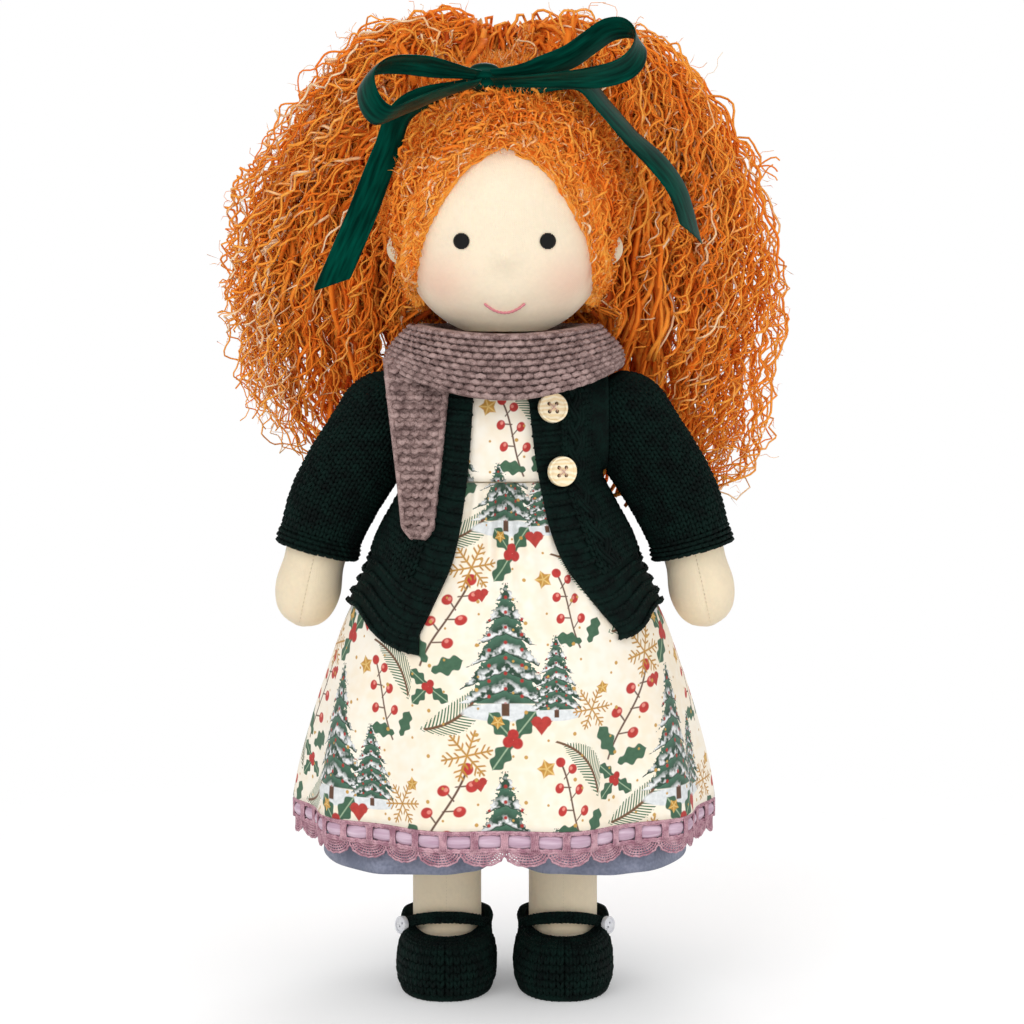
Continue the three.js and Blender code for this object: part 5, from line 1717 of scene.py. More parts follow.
# Knitting. A stitch is one or two short threads: a list of places across and up its cell and off the cloth.
PLAIN_STITCH = [
    [(0.52, -0.3, -0.2), (0.34, 0.1, 0.75), (0.2, 0.55, 0.95), (0.1, 1.0, -0.1)],
    [(0.48, -0.3, -0.2), (0.66, 0.1, 0.75), (0.8, 0.55, 0.95), (0.9, 1.0, -0.1)],
]
PURL_STITCH = [[(-0.06, 0.0, -0.5), (0.2, 0.5, 0.9), (0.8, 0.5, 0.9), (1.06, 0.0, -0.5)]]
MOSS_STITCH = [[(0.04, 0.1, -0.6), (0.16, 0.42, 0.6), (0.5, 0.58, 1.1), (0.84, 0.42, 0.6), (0.96, 0.1, -0.6)]]


def knit(shape, cells, place, stitch, yarn, draw, height=1.0):
    """Adds stitches at cells[n, 2] of a cloth whose surface is place(column, row, off)."""
    for path in stitch:
        path = np.array(path)
        column = cells[:, 0:1] + path[None, :, 0]
        row = cells[:, 1:2] + path[None, :, 1]
        off = path[None, :, 2] * height + draw.normal(0, 0.06, (len(cells), 1))
        lines = place(column + draw.normal(0, 0.03, column.shape), row + draw.normal(0, 0.04, row.shape), off)
        taper = np.ones(len(path))
        taper[[0, -1]] = 0.6
        radii = yarn * taper * draw.uniform(0.92, 1.08, (len(cells), 1))
        shape.tubes(lines, radii, 4, np.clip(0.5 + draw.normal(0, 0.12, (len(cells), 1, 1)), 0, 1))
    return shape


def cell_grid(columns, rows, first_column=0, first_row=0):
    c, r = np.meshgrid(np.arange(first_column, columns), np.arange(first_row, rows))
    return np.stack([c.ravel(), r.ravel()], -1).astype(float)


CUFF = 0.68  # the sleeve's end, as a share of the arm
SLEEVE_ROOT = 19.9  # radius of the sleeve's rounded top


def sleeve_surface(side):
    """A function for one sleeve's face, from the angle round it, the share down it and the lift off it."""
    middle = arm_line(side, 60)
    along, front, aside = limb_frame(middle)

    def surface(angle, share, off):
        flare = 1.2 * smooth((share - 0.6) / 0.06)
        radius = arm_radius(np.clip(share, 0, CUFF)) + LAYER_GAP + KNIT_BACKING + flare + off
        beyond = np.minimum(share, 0) * 90
        radius = radius * np.sqrt(np.clip(1 - (beyond / SLEEVE_ROOT) ** 2, 0.01, 1))
        ring = between(front, share) * np.cos(angle)[..., None]
        ring = ring + between(aside, share) * np.sin(angle)[..., None]
        point = between(middle, share) + beyond[..., None] * along[0] + ring * radius[..., None]
        point[..., 0] = side * np.maximum(point[..., 0] * side, SHOULDER_PLANE + 0.2)
        return point

    return surface


def staggered(columns, rows):
    """Cells whose every second row is half a cell further on."""
    cells = cell_grid(columns, rows)
    cells[:, 0] += 0.5 * (cells[:, 1] % 2)
    return cells


def model_sleeves():
    cloth = green_wool()
    columns, rows, cuff_columns, cuff_rows = 36, 32, 34, 4
    start, end = -0.2, CUFF - 0.07
    for name, side in SIDES.items():
        surface = sleeve_surface(side)
        share = np.linspace(-0.215, CUFF, 44)[:, None]
        angle = circle(60)[None]
        grid = surface(angle + 0 * share, share + 0 * angle, -0.2)
        shell = Shape().skin(grid, KNIT_BACKING - 0.3, loop=True, tone=0.1)
        shell = shell.piece(f"sleeve_cloth_{name}", cloth)
        draw = np.random.default_rng(61 + side)

        def place(column, row, off):
            return surface(column / columns * math.tau, lerp(start, end, row / rows), off)

        def cuff_place(column, row, off):
            return surface(column / cuff_columns * math.tau, CUFF - 0.075 + 0.08 * row / cuff_rows, off)

        shape = knit(Shape(), cell_grid(columns, rows), place, PLAIN_STITCH, sizes().yarn / MM, draw, 0.75)
        knit(shape, staggered(cuff_columns, cuff_rows), cuff_place, PURL_STITCH, 0.95, draw, 0.8)
        knitting, arm = shape.piece(f"sleeve_stitches_{name}", cloth), f"arm_stuffed_{name}"
        settle(shell, f"arm_{name}", "knit_green", f"sleeve_{name}")
        settle(knitting, f"arm_{name}", "knit_green")


SIDE_SEAM = 0.004  # the gap at each side seam, as an angle
BACK_CELLS = (38, 38)
FRONT_CELLS = (18, 46)
CABLE_COLUMN = 6.6


def knitted_panel(name, surface, flip, cells, plain, band, draw, cabled=False):
    """A panel of the cardigan: its backing, plain knitting, and purl ridges on its band's even rows."""
    cloth, yarn = green_wool(), sizes().yarn / MM
    u, t = np.linspace(0, 1, 50)[None], np.linspace(0, 1, 60)[:, None]
    grid = surface(u + 0 * t, t + 0 * u, -0.1)
    grid = grid[:, ::-1] if flip else grid
    shell = Shape().skin(grid, KNIT_BACKING - 0.3, tone=0.1).piece(f"{name}_cloth", cloth)
    cut_armholes(shell)

    def place(column, row, off):
        return surface(column / cells[0], row / cells[1], off)

    shape = Shape()
    ridges = band[band[:, 1] % 2 < 1]
    for stitch, part, thick in ((PLAIN_STITCH, plain, yarn), (PURL_STITCH, ridges, yarn * 1.2)):
        at = place(part[:, 0] + 0.5, part[:, 1] + 0.5, 0.0)
        clear = np.hypot(at[:, 1], at[:, 2] - SHOULDER) >= 13
        knit(shape, part[clear], place, stitch, thick, draw, 0.8)
    if cabled:
        cable(shape, place, CABLE_COLUMN, cells[1])
    knitting = shape.piece(f"{name}_stitches", cloth)
    settle(shell, "torso", "knit_green", name)
    settle(knitting, "torso", "knit_green")


def back_surface(u, t, off):
    z = lerp(lerp(CARDIGAN_SIDE_HEM, CARDIGAN_BACK_HEM, smooth(1 - np.abs(2 * u - 1))), CARDIGAN_TOP, t)
    return cardigan_point(lerp(SIDE_SEAM, math.pi - SIDE_SEAM, u), z, off - KNIT + KNIT_BACKING)


def front_surface(side):
    """A function for one front, from its edge at u 0 to its side seam at u 1, and up from its hem."""
    point = CARDIGAN_POINT - (3.0 if side > 0 else 8.0)

    def surface(u, t, off):
        z = lerp(lerp(point, CARDIGAN_SIDE_HEM - 3.0, smooth(u / 0.7)), CARDIGAN_TOP, t)
        w = cardigan_point(0.0, z)[..., 0]
        turn = np.arccos(np.minimum(1, edge_x(side, z) / w) ** (dress_power(z) / 2))
        turn = lerp(turn, SIDE_SEAM, u)
        return cardigan_point(-turn if side > 0 else math.pi + turn, z, off - KNIT + KNIT_BACKING)

    return surface


def model_cardigan():
    draw = np.random.default_rng(71)
    plain, band = cell_grid(*BACK_CELLS, 0, 9), cell_grid(BACK_CELLS[0], 9)
    knitted_panel("cardigan_back", back_surface, False, BACK_CELLS, plain, band, draw)
    columns, rows = FRONT_CELLS
    plain = cell_grid(columns, rows, 4, 10)
    band = np.concatenate([cell_grid(4, rows), cell_grid(columns, 10, 4)])
    for name, side in SIDES.items():
        surface, flip = front_surface(side), side < 0
        name = f"cardigan_front_{name}"
        knitted_panel(name, surface, flip, FRONT_CELLS, plain, band, draw, cabled=side > 0)


def cable(shape, place, column, rows):
    """A three-strand plait up the cloth, about a column."""
    t = np.linspace(10, rows * 0.93, 110)
    for strand in range(3):
        turn = t * math.tau / 13 + strand * math.tau / 3
        across = column + 1.15 * np.sin(turn)
        for ply in (-0.33, 0.33):
            line = place(across + ply, t, 0.9 + 0.75 * np.sin(turn * 2 + 0.6))
            shape.tubes(line[None], np.full(len(t), 0.82), 6)


SHOULDER_START = 25.0
SHOULDER_RADII = (22.5, 18.6)  # where the shoulder starts, and where the sleeve does


def model_shoulders():
    """The knitted shoulder between each front and its sleeve, shaped about the axis that the arm turns on."""
    cloth = green_wool()
    columns, rows = 36, 6
    for name, side in SIDES.items():

        def place(column, row, off):
            angle, share = column / columns * math.tau, row / rows
            radius = lerp(*SHOULDER_RADII, smooth(share)) * (1 - 0.1 * np.cos(angle) ** 2) + off
            x = lerp(SHOULDER_START, SHOULDER_PLANE - 0.4, share)
            return xyz(side * x, radius * np.cos(angle), SHOULDER + radius * np.sin(angle))

        points = place(np.linspace(0, columns, 49)[None, :-1], np.linspace(0, rows, 12)[:, None], -0.2)
        shell = Shape().skin(points if side < 0 else points[:, ::-1], 1.5, loop=True, tone=0.1)
        shell = shell.piece(f"shoulder_cloth_{name}", cloth)
        draw = np.random.default_rng(121 + side)
        shape = knit(Shape(), cell_grid(columns, rows), place, PLAIN_STITCH, sizes().yarn / MM, draw, 0.8)
        knitting, torso = shape.piece(f"shoulder_stitches_{name}", cloth), "torso_stuffed"
        settle(shell, "torso", "knit_green")
        settle(knitting, "torso", "knit_green")


def cut_armholes(piece):
    """Cuts both armholes out of a garment."""
    bpy.ops.object.select_all(action="DESELECT")
    bpy.ops.mesh.primitive_cylinder_add(
        vertices=40,
        radius=ARMHOLE * MM,
        depth=300 * MM,
        location=(0, 0, SHOULDER * MM),
        rotation=(0, math.pi / 2, 0),
    )
    tool = bpy.context.object
    bpy.ops.object.transform_apply(location=True, rotation=True, scale=True)
    modify(piece, "BOOLEAN", operation="DIFFERENCE", object=tool, solver="EXACT")
    bpy.data.objects.remove(tool)


# The dress
def cloth_map(points):
    """A map in millimetres: across from the front's middle column, and up from the first row."""
    across = run_length(points)
    middle = points.shape[1] // 2
    up = run_length(points[:, middle])
    return np.stack(np.broadcast_arrays(across - across[:, middle : middle + 1], up[:, None]), -1)


def skirt_surface(angle, z, off=0.0):
    """The skirt's outer face. Angle 0 is its front."""
    around = angle - math.pi / 2
    share = skirt_share(z)
    depth = FOLD_DEPTH * (1 - smooth(share / 0.53))
    wave = depth * np.cos(FOLDS * around)
    soft = 0.8 * np.sin(angle * 7 + 1.3 * np.sin(share * 4)) * (1 - smooth(share / 0.5))
    opening = smooth((0.75 - np.abs(angle)) / 0.3)
    gathers = sizes().gathers / MM * np.sin(angle * 46 + 0.8 * np.sin(angle * 11))
    gathers = gathers * smooth((share - 0.6) / 0.36) * opening
    hang = 0.8 * np.sin(angle * 31 + 2 * np.sin(angle * 3)) * smooth((share - 0.45) / 0.3) * opening
    w, d = dress_at(z, off)
    grow = wave + soft * 0.5 + gathers + hang
    return xyz(*oval(w + grow, d + grow, around, dress_power(z)), z)


BODICE_MAP = (23, 142)  # where the bodice was cut from the printed cloth, in millimetres


def model_dress():
    cloth = printed_cotton("dress_cotton")
    front, side = np.linspace(-0.8, 0.8, 150), np.linspace(0.8, math.tau - 0.8, 130)[1:-1]
    angle = np.concatenate([side[64:] - math.tau, front, side[:64]])[None]
    z = np.linspace(HEM, WAIST - 0.5, 46)[:, None]
    points = skirt_surface(angle, z)
    skirt = Shape().skin(points, COTTON, loop=True, uv=cloth_map(points)).piece("skirt_cloth", cloth)
    settle(skirt, "torso", "dress_cotton", "dress_skirt")
    z = np.linspace(WAIST, BODICE_TOP, 16)[:, None]
    w, d = torso_at(z, LAYER_GAP + COTTON)
    ripple = 0.35 * np.sin(angle * 19 + 0.5 * np.sin(angle * 5)) * smooth((225 - z) / 16)
    points = xyz(*oval(w + ripple, d + ripple, angle - math.pi / 2, TORSO_POWER), z)
    uv = cloth_map(points) + BODICE_MAP
    bodice = Shape().skin(points, COTTON, loop=True, uv=uv).piece("bodice_cloth", cloth)
    cut_armholes(bodice)
    settle(bodice, "torso", "dress_cotton", "dress_bodice")


def hem_point(share, down, inside=0.0):
    """A point below the hem, at a share of the way round from the front."""
    angle = np.asarray(share) * math.tau
    point = skirt_surface(angle, np.full(np.shape(angle), HEM), -inside)
    point[..., 2] = HEM - 0.3 - down
    return point


LACE_THREAD = 0.33
# Each cord's distance down from the hem, its radius, and how far inside the hem it lies
LACE_CORDS = ((0.4, 0.7, 0.8), (1.2, 0.5, 0.9), (7.2, 0.55, 0.9), (8.0, 0.5, 1.0))
HEM_LENGTH = 510.0


def lace_fan(scallop, turn, reach):
    """A point of one scallop's fan, at a turn from straight down and a share of its reach."""
    across = (scallop + 0.5 + 0.5 * np.sin(turn) * (0.25 + 0.75 * reach)) / SCALLOPS
    return hem_point(across, 7.6 + 6.0 * reach * np.cos(turn) ** 0.8, 1.2)


def model_lace():
    """Crocheted cords, bars and fans of thread, and the satin that is threaded between the bars."""
    mauve = wool("lace_cotton", colours().lace_dark, colours().lace, 0.8, 300.0)
    pink = satin("satin_pink", colours().pink_dark, colours().pink)
    draw = np.random.default_rng(81)
    shape = Shape()
    around = circle(360) / math.tau
    for down, radius, inside_by in LACE_CORDS:
        wave = 0.25 * np.sin(around * math.tau * 150 + down)
        closed_tube(shape, hem_point(around, down + wave, inside_by), radius)
    down, pinch = np.linspace(0.6, 7.8, 8), 1 - 0.35 * np.sin(np.linspace(0, math.pi, 8))
    bars = np.arange(LACE_BARS)[:, None] / LACE_BARS
    for offset in (-1.5, -0.75, 0.0, 0.75, 1.5):
        at = bars + offset * pinch[None] / HEM_LENGTH
        lines = hem_point(at, down[None] + 0 * at, 0.25)
        shape.tubes(lines, np.full(8, 0.38), 4, draw.uniform(0.35, 0.65, LACE_BARS))
    turns, reach = np.linspace(-1.45, 1.45, 15)[:, None], np.linspace(0.05, 1.0, 5)[None]
    arc = np.linspace(-1.5, 1.5, 17)
    for scallop in range(SCALLOPS):
        lines = lace_fan(scallop, turns + 0 * reach, reach + 0 * turns)
        shape.tubes(lines, np.full(5, LACE_THREAD), 3, draw.uniform(0.35, 0.65, len(turns)))
        for level in (0.3, 0.48, 0.66, 0.84):
            shape.tubes(lace_fan(scallop, arc, level)[None], np.full(17, LACE_THREAD), 4)
        edge = lace_fan(scallop, arc, 1 + 0.04 * np.cos(arc * 14))
        shape.tubes(edge[None], np.full(17, 0.5), 4)
    lace = shape.piece("lace_crochet", mauve)
    settle(lace, "torso", "lace_cotton", "lace_trim")
    share = circle(540) / math.tau
    puff = np.sin((share * LACE_BARS % 1) * math.pi) ** 0.6
    level = np.linspace(-1, 1, 7)
    profile = 1 - level**2 * 0.75
    off = 1.9 - 2.3 * puff[None] * profile[:, None]
    half = lerp(1.7, 2.9, puff)
    points = np.stack([hem_point(share, 4.2 + half * up, inward) for up, inward in zip(level, off)])[::-1]
    ribbon = Shape().skin(points, 0.45, loop=True, uv=cloth_map(points)).piece("lace_satin", pink)
    settle(ribbon, "torso", "satin_pink", "lace_ribbon")


def closed_tube(shape, line, radius, sides=6):
    """A round cord along a line of points that closes on itself."""
    along = unit(np.roll(line, -1, 0) - np.roll(line, 1, 0))
    up = np.array([0, 0, 1.0])
    aside = unit(np.cross(along, up))
    over = np.cross(aside, along)
    angle = circle(sides)[:, None] + 0 * line[:, None, :1]
    ring = line[:, None] + (aside[:, None] * np.cos(angle) + over[:, None] * np.sin(angle)) * radius
    n = len(line)
    i, j = np.arange(n)[:, None], np.arange(sides)[None]
    a, b = i * sides + j, i * sides + (j + 1) % sides
    c, d = ((i + 1) % n) * sides + (j + 1) % sides, ((i + 1) % n) * sides + j
    shape.add(ring, [np.stack([a, b, c, d], -1).reshape(-1, 4)[:, ::-1]])


def model_bloomers():
    cloth = plain_weave("bloomer_cotton", colours().linen_dark, colours().linen)
    width, depth = share_curve(BLOOMER_SHARES, 1), share_curve(BLOOMER_SHARES, 2)
    shape = Shape()
    angle = np.linspace(-math.pi, math.pi, 109)[None, :-1]
    share = np.linspace(0, 1.12, 22)[:, None]
    for side in SIDES.values():
        w = (BLOOMER_HALF[0] + 2.2 * (1 - smooth(share * 2))) * width(share)
        d = 0.97 * BLOOMER_HALF[1] * depth(share)
        around = angle - math.pi / 2
        inward = np.cos(around) * side < 0
        x, y = oval(w, d, around)
        x4, y4 = oval(w, d, around, 4)
        x, y = np.where(inward, x4, x), np.where(inward, y4, y)
        fold = 1.1 * np.sin(angle * 9 + side + 1.5 * np.sin(angle * 2)) * (1 - 0.6 * share)
        x = side * (lerp(4.5, 1.8, np.clip(share, 0, 1)) + w) + x
        y = y * (1 + fold / 60 * 0.8)
        points = xyz(x, y, lerp(BLOOMER_HEM, BLOOMER_CROTCH, share))
        shape.skin(points, COTTON, loop=True, uv=cloth_map(points))
    z = np.linspace(BLOOMER_CROTCH + 4, BLOOMER_TOP, 20)[:, None]
    ease = 13 * smooth((BLOOMER_TOP - z) / (BLOOMER_TOP - BLOOMER_CROTCH))
    w, d = torso_at(z, LAYER_GAP + COTTON)
    points = xyz(*oval(w + ease, d + ease, angle - math.pi / 2, TORSO_POWER), z)
    shape.skin(points, COTTON, loop=True, uv=cloth_map(points))
    bloomers = shape.piece("bloomer_cloth", cloth)
    settle(bloomers, "torso", "bloomer_cotton", "bloomers")


# The scarf
COWL_HEM = {"side": 254.0, "front": 242.0, "rear": 249.0}
COWL_INNER = (38.0, 34.0)  # half-width and half-depth where it is narrowest
COWL_OUTER = (48.0, 45.0)
COWL_REAR = 37.0


def cowl_surface(angle, share, off=0.0):
    """The scarf's wrap round the neck, which hangs lowest in front."""
    s = np.sin(angle)
    front, rear = np.where(s < 0, s**2, 0), np.where(s > 0, s**2, 0)
    hem = lerp(COWL_HEM["side"], COWL_HEM["front"], front) + (COWL_HEM["rear"] - COWL_HEM["side"]) * rear
    spread = cowl_spread(share)
    w = lerp(COWL_INNER[0], COWL_OUTER[0], spread) + off
    d = lerp(COWL_INNER[1], np.where(s > 0, COWL_REAR, COWL_OUTER[1]), spread) + off
    z = lerp(hem, SCARF_TOP - 3 * front, share)
    return xyz(w * np.cos(angle), d * s, z)


cowl_spread = share_curve(COWL_SHARES)


TAIL_TOP = 258.0
TAIL_END = 187.5
TAIL_TOP_WIDTH = 27.0
TAIL_END_WIDTH = 11.0


def tail_surface(u, t, off):
    """The scarf's hanging end, over the cardigan: u across it and t from its top down."""
    z = lerp(TAIL_TOP, TAIL_END, t)
    width = lerp(TAIL_TOP_WIDTH, TAIL_END_WIDTH, t) * np.sqrt(np.clip((1.012 - t) * 14, 0, 1))
    x = lerp(-35.3, -34.6, t) + (u - 0.5) * width
    w = cardigan_point(0.0, z, off)[..., 0]
    d = -cardigan_point(-math.pi / 2, z, off)[..., 1]
    return np.stack([x, -d * np.sqrt(np.maximum(0.5, 1 - (x / w) ** 2)), z], -1)


def model_scarf():
    cloth = wool("knit_mauve", colours().scarf_dark, colours().scarf, 0.9, 220.0)
    draw = np.random.default_rng(91)
    angle = circle(96)[None]
    outer = cowl_surface(angle, np.linspace(0, 1, 26)[:, None], -1.6)
    lip = cowl_surface(angle, np.linspace(1, 0.5, 8)[:, None], -1.6) * [0.86, 0.86, 1]
    shell = Shape().skin(np.concatenate([outer, lip]), 2.6, loop=True, tone=0.2).piece("scarf_cloth", cloth)
    columns, rows = 64, 10

    def place(column, row, off):
        return cowl_surface(column / columns * math.tau, 0.02 + 0.97 * row / rows, off - 0.9)

    shape = knit(Shape(), staggered(columns, rows), place, MOSS_STITCH, sizes().scarf_yarn / MM, draw)
    knitting, back = shape.piece("scarf_stitches", cloth), "cardigan_back_cloth"
    settle(shell, "torso", "knit_mauve", "scarf_wrap")
    settle(knitting, "torso", "knit_mauve")
    model_scarf_tail(cloth, draw)


def model_scarf_tail(cloth, draw):
    """The scarf's hanging end."""
    u, t = np.linspace(0, 1, 14)[None], np.linspace(0, 1, 40)[:, None]
    points = tail_surface(u + 0 * t, 1 - t + 0 * u, 3.0)
    tail = Shape().skin(points, 2.2, tone=0.2).piece("scarf_tail_cloth", cloth)
    ridges, yarn = 20, sizes().scarf_yarn / MM
    shape = Shape()
    for ridge in range(ridges):
        count = max(2, round(lerp(TAIL_TOP_WIDTH, TAIL_END_WIDTH, ridge / ridges) / 4.2))
        cells = np.column_stack([np.arange(count) + 0.5 * (ridge % 2), np.full(count, float(ridge))])

        def place(column, row, off):
            return tail_surface(column / (count + 0.5), row / ridges, 3.4 + off)

        knit(shape, cells, place, MOSS_STITCH, yarn, draw)
    t = np.linspace(0, 1, 70)
    for u in (0.03, 0.97):
        shape.tubes(tail_surface(u, t, 2.6 + 0.5 * np.sin(t * math.tau * ridges))[None], np.full(70, 1.15), 6)
    knitting, front = shape.piece("scarf_tail_stitches", cloth), "cardigan_front_right_cloth"
    settle(tail, "torso", "knit_mauve", "scarf_tail")
    settle(knitting, "torso", "knit_mauve")
    for piece in (tail, knitting):
        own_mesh(piece)


# The shoes. The rim of the opening widens and rises from the toe to the heel.
RIM_HALF = (12.8, 17.8)
RIM_DEPTH = 21.0
RIM_HEIGHT = (21.5, 28.0)


def shoe_surface(side, angle, t, off=0.0):
    """The upper, from the sole's edge at t 0 to the rim of the opening at t 1."""
    grow = LAYER_GAP + SHOE_WALL + off
    share = np.clip(t * 1.5, 0, 0.72)
    x, y = foot_outline(angle, share, grow)
    z = lerp(0.4, FOOT_HEIGHT + SOLE + grow, share)
    s = np.sin(angle)
    rim_x, rim_y = oval(lerp(*RIM_HALF, smooth((s + 0.5) / 0.6)) + off * 0.3, RIM_DEPTH, angle)
    rim_y = rim_y - 3.0
    rim_z = lerp(*RIM_HEIGHT, smooth((s + 0.5) / 0.9)) + off * 0.6
    over = smooth((t - 0.42) / 0.58)
    bulge = 3.4 * np.sin(np.clip((t - 0.4) / 0.6, 0, 1) * math.pi)
    z = lerp(z, rim_z, over) + bulge * 0.6
    return np.stack([side * LEG_X + lerp(x, rim_x, over), lerp(y, rim_y, over), z], -1)


def model_shoes():
    cloth = green_wool()
    columns, rows = 48, 13
    for name, side in SIDES.items():
        draw = np.random.default_rng(101 + side)
        angle = circle(72)[None]
        t = np.linspace(0, 1, 30)[:, None]
        grid = shoe_surface(side, angle + 0 * t, t + 0 * angle, -1.0)
        middle = np.array([side * LEG_X, -9.0, 0.1])
        rim = grid[0] * [1, 1, 0] + [0, 0, 0.1]
        sole = [middle + (rim - middle) * k for k in (0.02, 0.5, 0.9)]
        shape = Shape().skin(np.concatenate([sole, grid]), 1.6, loop=True, tone=0.15)

        def place(column, row, off):
            return shoe_surface(side, column / columns * math.tau, np.clip(row / rows, 0, 1.0), off - 0.3)

        knit(shape, cell_grid(columns, rows), place, PLAIN_STITCH, 0.9, draw, 0.9)
        closed_tube(shape, shoe_surface(side, circle(60), np.ones(60), 0.4), 1.35, 8)
        edge = shoe_surface(side, circle(60), np.full(60, 0.02), 0.2)
        edge[:, 2] = 1.5
        closed_tube(shape, edge, 1.4, 8)
        shoe = shape.piece(f"shoe_crochet_{name}", cloth)
        settle(shoe, f"leg_{name}", "knit_green", f"shoe_{name}")
        strap_and_button(name, side, cloth, draw)


def strap_line(side, count):
    """The strap's middle line: an arch over the instep, with both ends set into the shoe's rim."""
    angle = np.linspace(0.1, 0.9, count) * math.pi
    reach = LEG_RADIUS + LAYER_GAP + 2.2
    z = 29.5 - 8.5 * (1 - np.sin(angle)) ** 1.1
    return np.column_stack([side * (LEG_X + reach * np.cos(angle)), -reach * np.sin(angle), z])


def strap_and_button(name, side, cloth, draw):
    """A strap of two rows of crochet over the instep, and the button at its outer end."""
    line = strap_line(side, 60)
    out = unit((line - [side * LEG_X, 0, 0]) * [1, 1, 0])
    up = np.array([0, 0, 1.0])
    turn = circle(16)[:, None]
    ring = line[:, None] + out[:, None] * 1.1 * np.cos(turn) + up * 2.3 * np.sin(turn)
    shape = Shape().skin(ring, loop=True, tone=0.15)
    rows = 26

    def place(column, row, off):
        share = np.clip(row / rows, 0, 1)
        at = between(line, share) + between(out, share) * (1.0 + off)[..., None]
        return at + up * ((column - 1) * 2.2)[..., None]

    knit(shape, cell_grid(2, rows), place, PLAIN_STITCH, 0.85, draw, 0.5)
    strap = shape.piece(f"shoe_strap_crochet_{name}", cloth)
    settle(strap, f"leg_{name}", "knit_green", f"shoe_strap_{name}")
    pearl = shell_pearl("button_pearl")
    button = turned_button(f"shoe_button_turned_{name}", 3.6, 2.2, 1.0, 0.5, pearl, 2, 0.5, 1.5)
    facing = Vector((side * 0.78, -0.6, 0.12)).normalized()
    button.data.transform(seat(Vector((side * (LEG_X + 17.6), -9.5, 24.5)) * MM, facing))
    settle(button, f"leg_{name}", "button_pearl", f"shoe_button_{name}")


def seat(base, facing):
    """The move that sets a button down at base, with its face turned that way."""
    return Matrix.Translation(base) @ facing.to_track_quat("Z", "Y").to_matrix().to_4x4()


def turned_button(name, radius, thickness, rim, dish, material, holes, hole_radius, spacing):
    """A round button lying on the origin with its face up: a rimmed disc with holes."""
    bpy.ops.object.select_all(action="DESELECT")
    bpy.ops.mesh.primitive_cylinder_add(
        vertices=48, radius=radius * MM, depth=thickness * MM, location=(0, 0, thickness * MM / 2)
    )
    button = bpy.context.object
    button.name = button.data.name = name
    bpy.ops.object.transform_apply(location=True)
    bpy.ops.object.mode_set(mode="EDIT")
    mesh = bmesh.from_edit_mesh(button.data)
    for face in mesh.faces:
        face.select_set(face.normal.z > 0.9)
    bmesh.update_edit_mesh(button.data)
    bpy.ops.mesh.inset(thickness=rim * 0.75 * MM)
    bpy.ops.mesh.inset(thickness=rim * 0.25 * MM, depth=-dish * MM)
    bpy.ops.mesh.inset(thickness=rim * 0.3 * MM, depth=-dish * 0.3 * MM)
    bpy.ops.object.mode_set(mode="OBJECT")
    modify(button, "BEVEL", width=0.35 * MM, segments=3, limit_method="ANGLE", angle_limit=math.radians(40))
    out, depth = spacing / math.sqrt(2) * MM, thickness * 4 * MM
    for turn in circle(holes) + math.pi / 4:
        at = (out * math.cos(turn), out * math.sin(turn), 0)
        bpy.ops.object.select_all(action="DESELECT")
        bpy.ops.mesh.primitive_cylinder_add(vertices=16, radius=hole_radius * MM, depth=depth, location=at)
        drill = bpy.context.object
        modify(button, "BOOLEAN", operation="DIFFERENCE", object=drill, solver="EXACT")
        bpy.data.objects.remove(drill)
    select_only(button)
    bpy.ops.object.shade_smooth_by_angle(angle=math.radians(35))
    button.data.materials.clear()
    button.data.materials.append(material)
    return button


BUTTON_LIFT = 0.3


def model_buttons():
    """The wooden buttons, each sewn on with a cross of thread through its four holes."""
    wood = boxwood("button_wood")
    pink = thread("button_thread", colours().button_thread)
    for name in ("upper", "lower"):
        low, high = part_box(f"cardigan_button_{name}")
        middle = (low + high) / 2
        x, z = middle.x / MM, middle.z / MM
        across = cardigan_front(x + 1, z) - cardigan_front(x - 1, z)
        up = cardigan_front(x, z + 1) - cardigan_front(x, z - 1)
        out = Vector(np.cross(across, up)).normalized()
        place = seat(Vector(cardigan_front(x, z)) * MM + out * BUTTON_LIFT * MM, out)
        button = turned_button(f"cardigan_button_turned_{name}", 6, 2.6, 1.3, 0.6, wood, 4, 0.8, 3.2)
        button.data.transform(place)
        settle(button, "torso", "button_wood", f"cardigan_button_{name}")
        lines = []
        for a, b in ((1, 1), (1, -1)):
            t = np.linspace(-1, 1, 9)
            arch = 2.3 + 0.45 * (1 - t**8)
            arch[[0, -1]] = 1.2
            lines.append(np.column_stack([a * t * 1.6, b * t * 1.6, arch]))
        sewing = Shape().tubes(np.array(lines), np.full(9, 0.24), 6).piece(f"button_thread_{name}", pink)
        sewing.data.transform(place)
        settle(sewing, "torso", "button_wood")


def cardigan_front(x, z):
    """The point of the cardigan's outer surface at x and z, on its front."""
    w, d = dress_at(z, LAYER_GAP + KNIT)
    power = float(dress_power(z))
    return np.array([x, -float(d) * (1 - abs(x / float(w)) ** power) ** (1 / power), z])


FOCAL_LENGTH = 2805.0  # in pixels of the picture
PICTURE = 1024
SENSOR = 36
CAMERA_TARGET = (2.9, 0.0, 194.3)


def seen_white(graph, *rays):
    """1 for rays that come straight from the camera and those others, which see the studio white."""
    path = graph.tree.nodes.new("ShaderNodeLightPath")
    seen = path.outputs["Is Camera Ray"]
    for ray in rays:
        seen = graph.math("MAXIMUM", seen, path.outputs[ray])
    return seen


